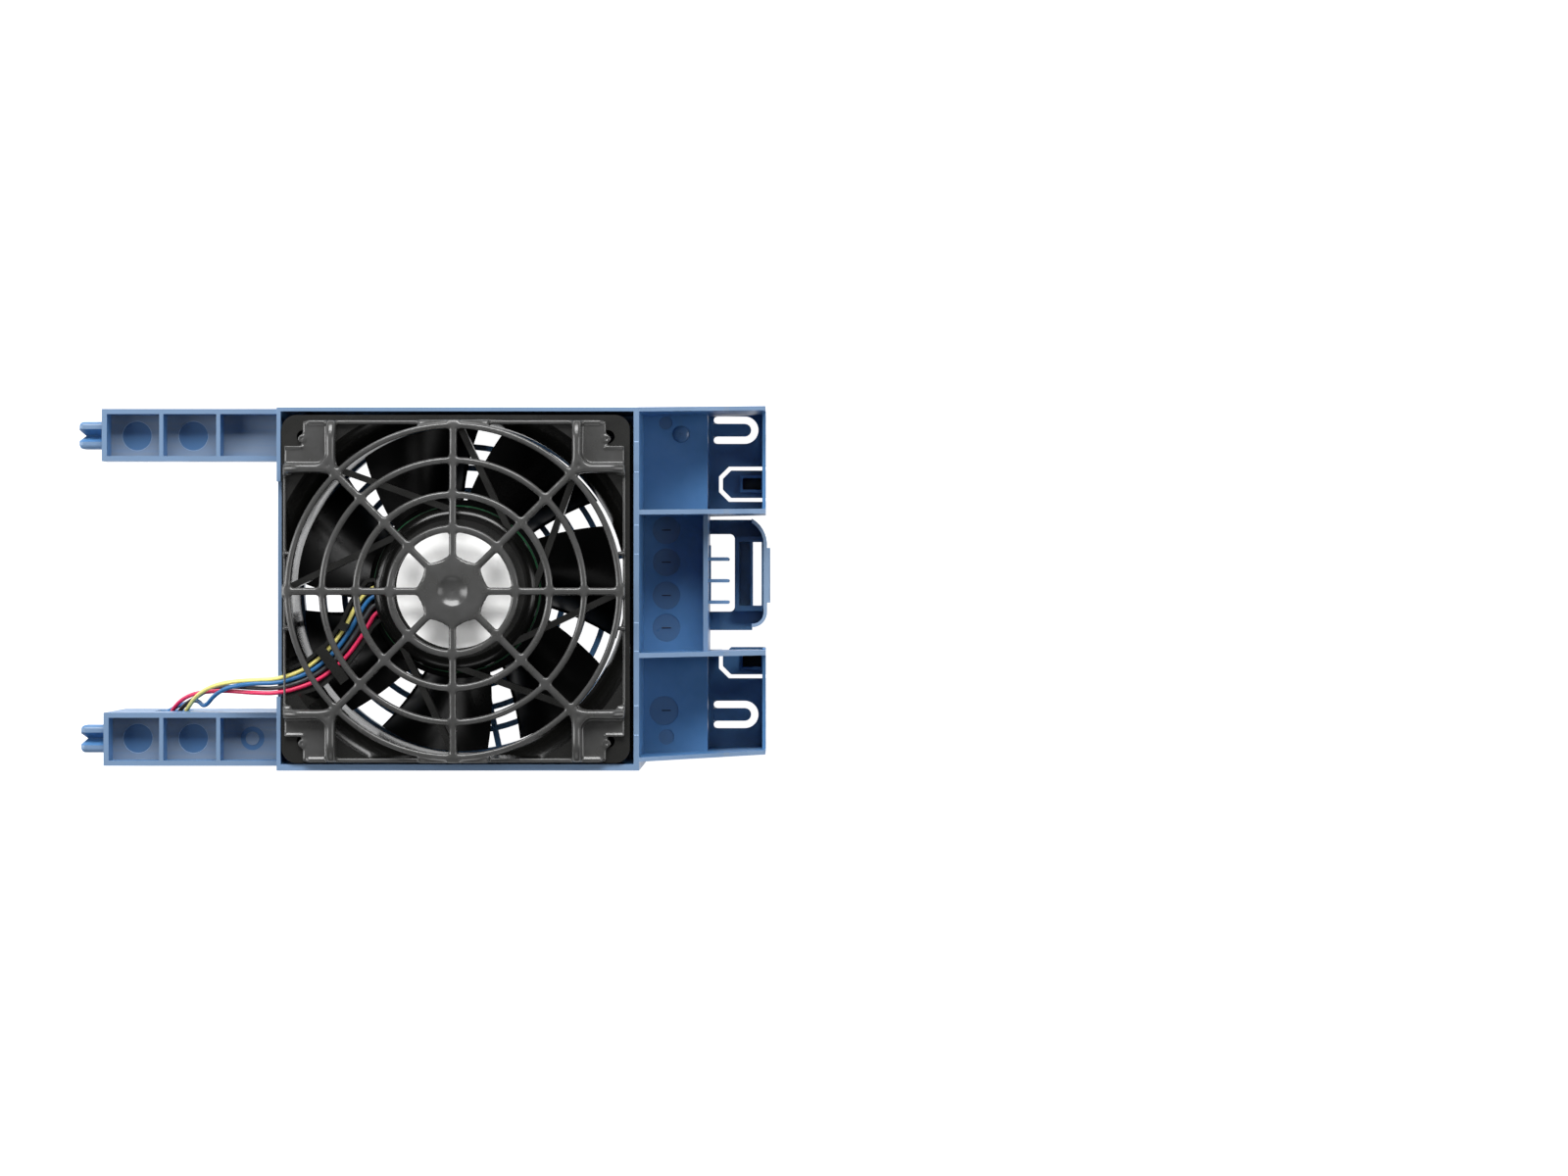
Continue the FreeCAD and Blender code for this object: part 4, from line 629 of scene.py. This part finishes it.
def spoke_bar(angle, start, stop, width):
    """A bar from radius start to stop that follows the dome."""
    along, across = spoke_frame(angle)
    r = np.linspace(start, stop, 30)
    return bar(r[:, None] * along, np.tile(across, (30, 1)), width, dome(r) - BAR, dome(r), 0.8), False


def block(x0, x1, y0, y1, low, high, corner=0.5):
    """A plain bar along x with rounded long edges."""
    path = np.array([(x0, (y0 + y1) / 2), ((x0 + x1) / 2, (y0 + y1) / 2), (x1, (y0 + y1) / 2)])
    return bar(path, np.tile([0.0, 1.0], (3, 1)), y1 - y0, low, high, corner), False


def turned(grid, degrees):
    """The same grid, turned about the fan's axis."""
    points, looped = grid
    a = math.radians(degrees)
    spin = np.array([[math.cos(a), -math.sin(a), 0], [math.sin(a), math.cos(a), 0], [0, 0, 1]])
    return points @ spin.T, looped


def mirrored(grid, sign_x, sign_y):
    """The same grid in another quarter of the plan: x and y times the given signs."""
    points, looped = grid
    return points * np.array([sign_x, sign_y, 1.0]), looped


def plate(outline, low, high, edge=0.3):
    """A plate: the outline at four heights, drawn in towards its middle by edge at the first and the last. The
    heights may change along the outline."""
    outline = np.asarray(outline, float)
    ones = np.ones(len(outline))
    low, high = low * ones, high * ones
    away = outline - outline.mean(axis=0)
    inset = outline - away * (edge / np.linalg.norm(away, axis=1, keepdims=True))
    rows = [(inset, low), (outline, low + edge), (outline, high - edge), (inset, high)]
    return np.stack([np.column_stack(row) for row in rows]), False


def web(radius, angle, reach):
    """The fillets where a ring and a spoke cross: a plate with four hollow sides, x as the cube of the cosine and y
    as the cube of the sine, turned to the spoke and as high as the dome."""
    t = np.arange(32) * 2 * np.pi / 32
    along, across = spoke_frame(angle)
    plan = radius * along + reach * (np.outer(np.cos(t) ** 3, along) + np.outer(np.sin(t) ** 3, across))
    high = dome(np.hypot(plan[:, 0], plan[:, 1]))
    return plate(plan, high - BAR, high, 0.2)


def arc(centre, radius, start, stop, count=10):
    """Points on an arc of the plan, its angles in degrees."""
    t = np.radians(np.linspace(start, stop, count))
    return np.stack([centre[0] + radius * np.cos(t), centre[1] + radius * np.sin(t)], axis=1)


def lathe(profile, count=96, start=0, stop=360):
    """A profile of (radius, height) points turned about the axis, all the way round or from one angle to another.
    Rows run round, columns along the profile."""
    profile = np.asarray(profile, float)
    whole = stop - start == 360
    t = np.radians(np.linspace(start, stop, count, endpoint=not whole))
    return np.stack([np.outer(np.cos(t), profile[:, 0]), np.outer(np.sin(t), profile[:, 0]),
                     np.tile(profile[:, 1], (count, 1))], axis=2), whole


print("guard from", FACE, "to", float(dome(0)), "mm")

# %% The guard's corner
CORNER = 42.3
BEND, BEND_RADIUS = 48.2, 5.9
CREST_RADIUS = 9.9
top = float(dome(RIM))


def leg():
    """One raised leg of a corner, in the quarter where x and y are positive: straight along y from the edge, then a
    Bezier curve to the crossing on the diagonal. Its crest is a circle of 9.9 mm radius from y = 52 to the edge."""
    straight = np.column_stack([np.full(14, CORNER), np.linspace(EDGE - 0.2, 48.2, 14)])
    s = np.linspace(0, 1, 12)[1:, None]
    p = np.array([[CORNER, 48.2], [CORNER, 44.6], [41.9, 41.9], [39.4, 39.4]])
    curve = (1 - s) ** 3 * p[0] + 3 * (1 - s) ** 2 * s * p[1] + 3 * (1 - s) * s ** 2 * p[2] + s ** 3 * p[3]
    path = np.concatenate([straight, curve])
    step = np.gradient(path, axis=0)
    side = np.column_stack([step[:, 1], -step[:, 0]]) / np.linalg.norm(step, axis=1, keepdims=True)
    fall = np.clip(path[:, 1] - 52.0, 0, CREST_RADIUS)
    drop = CREST_RADIUS - np.sqrt(CREST_RADIUS ** 2 - fall ** 2)
    crest = top + 0.2 * np.clip((46.0 - path[:, 1]) / 6.6, 0, 1) - drop
    width = np.interp(path[:, 1], [39.4, 46.0, EDGE], [2.6, 3.0, 3.3])
    return bar(path, side, width, FACE, crest, 1.4, 5), False


def corner():
    """A whole corner: both legs, the bend between them, the sunk pad with its notch, the post and its collar."""
    first = leg()
    bend = arc((BEND, BEND), BEND_RADIUS, 180, 270, 14)
    outward = (bend - BEND) / BEND_RADIUS
    fill = [(41.0, 46.5), (39.6, 39.6), (46.5, 41.0), (44.2, 44.2)]
    pad = [(43.6, 48.2), *arc((48.2, 48.2), 4.6, 190, 260, 8), (48.2, 43.6), (EDGE - 0.3, 43.6), (EDGE - 0.3, 49.6),
           (53.0, 49.6), (52.3, 50.3), (52.3, EDGE - 0.3), (43.6, EDGE - 0.3)]
    post = [(0.5, 62.0), (1.1, 61.6), (1.45, 62.2), (1.45, FACE + 1.4), (1.1, FACE + 1.9), (0.75, FACE + 1.7),
            (0.5, FACE + 1.0)]
    post, looped = lathe(post + [(0.49, 63.0)], 24)
    return [first, (first[0][:, :, [1, 0, 2]], False), (bar(bend, outward, 2.8, FACE, top, 1.4, 5), False),
            plate(fill, FACE, top - 0.9), plate(pad, FACE, FACE + 1.4), (post + np.array([52.5, 52.5, 0]), looped),
            block(52.0, EDGE - 0.3, 49.3, 50.1, FACE, FACE + 2.0, 0.3)]


print("corner pieces", len(corner()))

# %% The guard in one piece
guard = [ring_bar(r, w, dome(r) - BAR, dome(r)) for r, w in zip(RING_RADII, RING_WIDTHS)]
guard += [spoke_bar(90 * k, SPOKE_START, RIM, SPOKE_WIDTH) for k in range(4)]
guard += [spoke_bar(90 * k + 45, SPOKE_START, CORNER_REACH, SPOKE_WIDTH) for k in range(4)]
for k in range(8):
    guard.append(web(11.4, 45 * k, HUB_WEB))
    guard += [web(radius, 45 * k, RING_WEB) for radius in RING_RADII[:3]]
for k in range(4):
    guard.append(web(RIM, 90 * k + 45, RIM_WEB))
for quarter in range(4):
    guard.append(turned(block(55.8, EDGE, -2.2, 2.2, FACE, top - 0.3), 90 * quarter))
for sign_x, sign_y in ((1, 1), (-1, 1), (-1, -1), (1, -1)):
    guard += [mirrored(grid, sign_x, sign_y) for grid in corner()]
for angle in (90, 270):
    shoulder = plate([(55.2, -12.2), (EDGE, -12.2), (EDGE, 12.2), (55.2, 12.2), (56.6, 8.0), (57.0, 0.0),
                      (56.6, -8.0)], FACE, top - np.array([0.1, 1.9, 1.9, 0.1, 0.5, 0.7, 0.5]))
    guard.append(turned(shoulder, angle))
    guard.append(turned(block(-50.6, 50.6, 57.5, EDGE, FACE, FACE + 2.0, 0.4), angle - 90))
for angle in (0, 180):
    guard.append(turned(block(-42.0, 42.0, 58.0, EDGE, FACE, FACE + 1.2, 0.3), angle + 90))
for y in (40.5, 13.0, -12.8, -40.0):
    for x0, x1 in ((-EDGE, -EDGE + 2.9), (EDGE - 2.9, EDGE)):
        guard.append(block(x0, x1, y - 0.7, y + 0.7, FACE, FACE + 3.0))
dish = np.linspace(0.12, 1.0, 12)
hub_top = float(dome(0))
hub_profile = [(0.01, hub_top - 1.9), (0.3, hub_top - 1.9), (0.55, hub_top - 1.35)]
hub_profile += [(DISH_RADIUS * d, hub_top - DISH_DEPTH * (1 - d * d)) for d in dish]
hub_profile += [(5.5, hub_top + 0.02), (10.6, hub_top - 0.05), (11.3, hub_top - 0.4), (11.5, hub_top - 1.0)]
hub_profile += [(11.5, hub_top - 1.8), (11.1, hub_top - 2.2), (0.01, hub_top - 2.2)]
guard.append(lathe(hub_profile))
guard = [(points + GUARD_SHIFT, looped) for points, looped in guard]
guard_piece = stand_in("guard_moulding", grid_mesh("guard_moulding", guard), black_nylon, "carrier", "black_guard",
                       "finger_guard")
fuse = guard_piece.modifiers.new("fuse", "REMESH")
fuse.mode = "VOXEL"
fuse.voxel_size = 0.42 * MM
fuse.use_smooth_shade = True
soften = guard_piece.modifiers.new("soften", "SMOOTH")
soften.factor = 0.5
soften.iterations = 9
print("guard grids", len(guard))

# %% [markdown]
# ## Rounded lips of the fan housing
#
# Air is led into the tunnel by a bell mouth, and the motor base has a full round shoulder. The solid has a plain
# cone and a chamfer there. A profile turned about the axis lays the true curve over each: an arc that starts
# upright in the tunnel, and a quarter of an ellipse. The bell mouth stops at the square frame's walls, so its
# points are held inside them, and it is left open where the wires pass.

# %% Bell mouth and shoulder
HOUSING_WALL = 58.5
BELL_START, BELL_STOP = 218.5, 562.5  # degrees: once round, but for the gap where the wires pass
bell = [(58.2, 53.9), *arc((71.35, 54.2), 13.35, 180, 116, 14), (65.9, 66.0)]
bell_grid, looped = lathe(bell, 220, BELL_START, BELL_STOP)
bell_grid[:, :, :2] = np.clip(bell_grid[:, :, :2], -HOUSING_WALL, HOUSING_WALL)
SHOULDER_RADIUS, SHOULDER_SPAN, SHOULDER_DROP = 24.0, 4.52, 3.7
WIRE_ANGLE = 186.0  # where the wires leave the base, and the shoulder is shallower
t = np.linspace(0, np.pi / 2, 14)
curve = [(SHOULDER_RADIUS + SHOULDER_SPAN * math.sin(a), FACE + 0.03 - SHOULDER_DROP * (1 - math.cos(a))) for a in t]
shoulder_grid, whole = lathe([(23.7, FACE - 0.3), *curve, (27.9, curve[-1][1])], 160)
turn = np.degrees(np.arctan2(shoulder_grid[:, 0, 1], shoulder_grid[:, 0, 0])) % 360
above_wires = np.clip((15.5 - np.abs(turn - WIRE_ANGLE)) / 2.0, 0, 1)[:, None]
shoulder_grid[:, :, 2] = FACE + (shoulder_grid[:, :, 2] - FACE) * (1 - 0.27 * above_wires)
lips = grid_mesh("housing_lips", [(bell_grid, looped), (shoulder_grid, whole)])
# The lips take the polished plastic, whose darker colour is painted shade.
stand_in("housing_lips", lips, black_smooth_painted_darker, "carrier", "black_housing")
print("lips", len(lips.polygons), "faces")

# %% [markdown]
# ## Marks of the mould
#
# The carrier was pushed out of its mould by round pins, and each pin leaves a shallow disc. The solid has the
# discs as recesses. A thin polished disc on the bottom of each gives it the pin's own smoother face, and a short
# slit lies across some of them; its near-black colour is painted shade, as a slit's bottom gets no light. The wall
# beside the fan has pale hair lines across its top where two inserts of the mould met, and the discs in the arms
# have a pale rim, a painted highlight of their lit edge. All are small closed shapes, as a drawn line has no relief.

# %% Discs and hair lines
LEDGE = 25.5
PIN_YS = (20.9, 9.5, -2.3, -13.8)
DISCS = [(-113.1, 53.5, 5.0, POCKET), (-93.4, 53.5, 5.0, POCKET), (-112.8, -52.25, 5.0, POCKET),
         (-93.4, -52.25, 5.0, POCKET)]
DISCS += [(71.4, y, 4.9, LEDGE) for y in PIN_YS]
DISCS += [(71.1, 59.0, 2.3, LEDGE), (70.5, -43.2, 5.1, LEDGE), (71.4, -52.6, 2.7, LEDGE)]
marks = []


def disc(x, y, radius, low, high):
    """A flat disc of the given radius between two heights, its middle at x, y."""
    points, looped = lathe([(0.01, low), (radius, low), (radius, high), (0.01, high)], 64)
    return points + np.array([x, y, 0]), looped


for x, y, radius, level in DISCS:  # the solid's recess is 0.25 mm deep
    marks.append(disc(x, y, radius, level - 0.27, level - 0.2))
# The slits are thin dark blocks: their near black is painted shade, standing for a slit's unlit bottom.
slits = [block(69.8, 73.0, y - 0.2, y + 0.2, LEDGE - 0.2, LEDGE + 0.05, 0.1) for y in (*PIN_YS, -43.2)]
stand_in("gate_slits", grid_mesh("gate_slits", slits), blue_painted_shade, "carrier", "blue_plastic")
cap = [(3.0 * math.cos(a), LEDGE - 0.25 + 0.9 * math.sin(a)) for a in np.linspace(0, 1.5, 8)]
dot, looped = lathe([(0.01, LEDGE - 0.3), (3.0, LEDGE - 0.3), *cap], 48)
marks.append((dot + np.array([76.6, 55.0, 0]), looped))
for radius, rise in ((4.1, 0.06), (2.4, 0.12)):
    marks.append(disc(-72.7, -52.25, radius, POCKET - 0.3, POCKET + rise))
stand_in("ejector_faces", grid_mesh("ejector_faces", marks), blue_polished, "carrier", "blue_plastic")
lines = [block(61.45, 63.05, y - 0.17, y + 0.17, 65.05, 65.25, 0.06)
         for y in (50.8, 40.3, 22.0, 12.0, -11.7, -21.5, -40.3, -50.5)]
# A pale rim on each of the arms' discs: a painted highlight of its lit edge.
for x, y, radius, level in DISCS[:4]:
    rim, looped = lathe([(5.1, level - 0.2), (5.25, level - 0.2), (5.22, level + 0.03), (5.12, level + 0.03)], 72)
    lines.append((rim + np.array([x, y, 0]), looped))
stand_in("insert_lines_and_rim_highlights", grid_mesh("insert_lines_and_rim_highlights", lines), blue_pale_line_highlight, "carrier", "blue_plastic")
print("marks", len(marks), "lines", len(lines))

# %% [markdown]
# ## Slots and bosses of the tray
#
# A slot made by a mould ends in a half circle, because a sharp corner there would start a crack. The solid's
# slots end square, so a small plate with a hollow side rounds each end. The bosses of the two latch fingers are
# cored out from the front, and a thin floor closes each core. The floor is coloured nearly black: painted shade of
# the deep core.

# %% Slot ends and boss floors
SLOT, SLOT_START, SLOT_OFFSET = 2.65, 87.7, 3.625
half = SLOT / 2 - 0.06  # a little clear of the tongue, which bends past it
ends = []
for centre in (57.4, -45.4):
    for y in (centre + SLOT_OFFSET, centre - SLOT_OFFSET):
        hollow = arc((SLOT_START + SLOT / 2, y), half, 90, 270, 14)
        outline = [(SLOT_START - 0.2, y - half), (SLOT_START - 0.2, y + half), *hollow]
        ends.append(plate(outline, 0.05, 1.48, 0.02))
stand_in("slot_ends", grid_mesh("slot_ends", ends), blue_pc_abs, "carrier", "blue_plastic")
# Each core's floor is painted shade, nearly black, as the deep core gets no light.
for centre, body in ((37.85, "latch_finger_upper"), (-25.95, "latch_finger_lower")):
    name = "boss_floor" + body[12:]
    core = block(98.0, 105.3, centre - 2.3, centre + 2.3, 0.1, 1.3, 0.05)
    stand_in(name, grid_mesh(name, [core]), blue_painted_shade, body, "blue_plastic")
print("slot ends", len(ends))

# %% [markdown]
# ## Impeller
#
# Seven wide blades, moulded in one with a cup-shaped hub. A blade's section is a thin arched lens that climbs
# along the turn, and it is steeper at the root than at the tip. The grid runs out along the radius and round
# the section, so the surface is smooth both ways, as a moulded blade is.

# %% Impeller
HUB_REAR, HUB_FRONT, HUB_RADIUS, TIP = 31.0, 56.4, 31.0, 56.6
ROOT_HALF_ANGLE, TIP_HALF_ANGLE = 23.0, 20.5  # half of a blade's width, in degrees about the axis
ROOT_RISE, TIP_RISE = 23.0, 19.0
CAMBER, BLADE_THICKNESS = 4.15, 1.9
SWEEP, SINK = 8.0, 3.2  # how far the root runs ahead in degrees, and the blade's middle lies behind the hub's in mm
BLADES, FIRST_BLADE = 7, 131.0


def blade(middle_angle, rows=26, columns=48):
    """One blade. At each radius the section is an arc across the blade's half angle, rising by the given rise, arched
    by the camber, and as thick as a lens: full in the middle and thin at both ends."""
    r = np.linspace(HUB_RADIUS - 0.6, TIP, rows)[:, None]
    share = (r - HUB_RADIUS) / (TIP - HUB_RADIUS)
    root, tip = HUB_RADIUS * math.sin(math.radians(ROOT_HALF_ANGLE)), TIP * math.sin(math.radians(TIP_HALF_ANGLE))
    half = root * (1 - share) + tip * share
    rise = ROOT_RISE * (1 - share) + TIP_RISE * share
    t = np.arange(columns) * 2 * np.pi / columns
    along = np.cos(t)[None, :]
    skin = np.sin(t)[None, :]
    arch = 1 - along ** 2
    thick = BLADE_THICKNESS * (0.12 + 0.88 * arch) * 0.5
    lift = CAMBER * arch + skin * thick
    length = np.hypot(half, rise / 2)
    normal_y, normal_z = -(rise / 2) / length, half / length
    y = along * half + normal_y * lift
    z = (HUB_REAR + HUB_FRONT) / 2 - SINK + along * rise / 2 + normal_z * lift
    sweep = math.radians(SWEEP) * np.clip(1 - share, 0, 1)
    angle = math.radians(middle_angle) + sweep + np.arcsin(np.clip(y / r, -0.99, 0.99))
    return np.stack([r * np.cos(angle), r * np.sin(angle), np.clip(z, HUB_REAR, HUB_FRONT)], axis=2), False


pitch = 360 / BLADES
impeller = [blade(FIRST_BLADE + pitch * (k + 0.5)) for k in range(BLADES)]
cup = [(0.01, HUB_REAR), (29.6, HUB_REAR), (30.6, HUB_REAR + 0.4), (31.0, HUB_REAR + 1.4), (31.0, HUB_FRONT - 0.4),
       (30.7, HUB_FRONT), (29.1, HUB_FRONT), (29.1, HUB_REAR + 2.1), (0.01, HUB_REAR + 2.1)]
impeller.append(lathe(cup, 128))
stand_in("impeller_moulding", grid_mesh("impeller_moulding", impeller), black_blade, "rotor", "black_blades",
         "impeller")
print("impeller grids", len(impeller))

# %% [markdown]
# ## Solids that stay as they are
#
# The motor's inside is hidden by the guard, the label and the base, so its solids keep their plain shape and
# take only a material. Finer surfaces there would be work that nobody sees.

# %% Finishes of the solids that stay as they are
FINISH = {
    zinc_steel: ["rotor_yoke"],
    turned_steel: ["rotor_shaft", "bearing_front", "bearing_rear"],
    spring_steel: ["retaining_ring", "preload_spring"],
    ferrite: ["rotor_magnet"],
    brass_turned: ["bearing_tube"],
    silicon_steel: ["stator_core"],
    insulator_pbt: ["stator_insulators"],
    copper_enamel: ["stator_coils"],
    solder_mask: ["circuit_board"],
    chip_epoxy: ["board_components"],
    label_film: ["motor_label"],
    tinned_brass: ["connector_contacts"],
}
for material, names in FINISH.items():
    for name in names:
        for material_slot in nodes[name].material_slots:
            material_slot.link = "OBJECT"
            material_slot.material = material
print("finished", sum(len(names) for names in FINISH.values()), "solids")
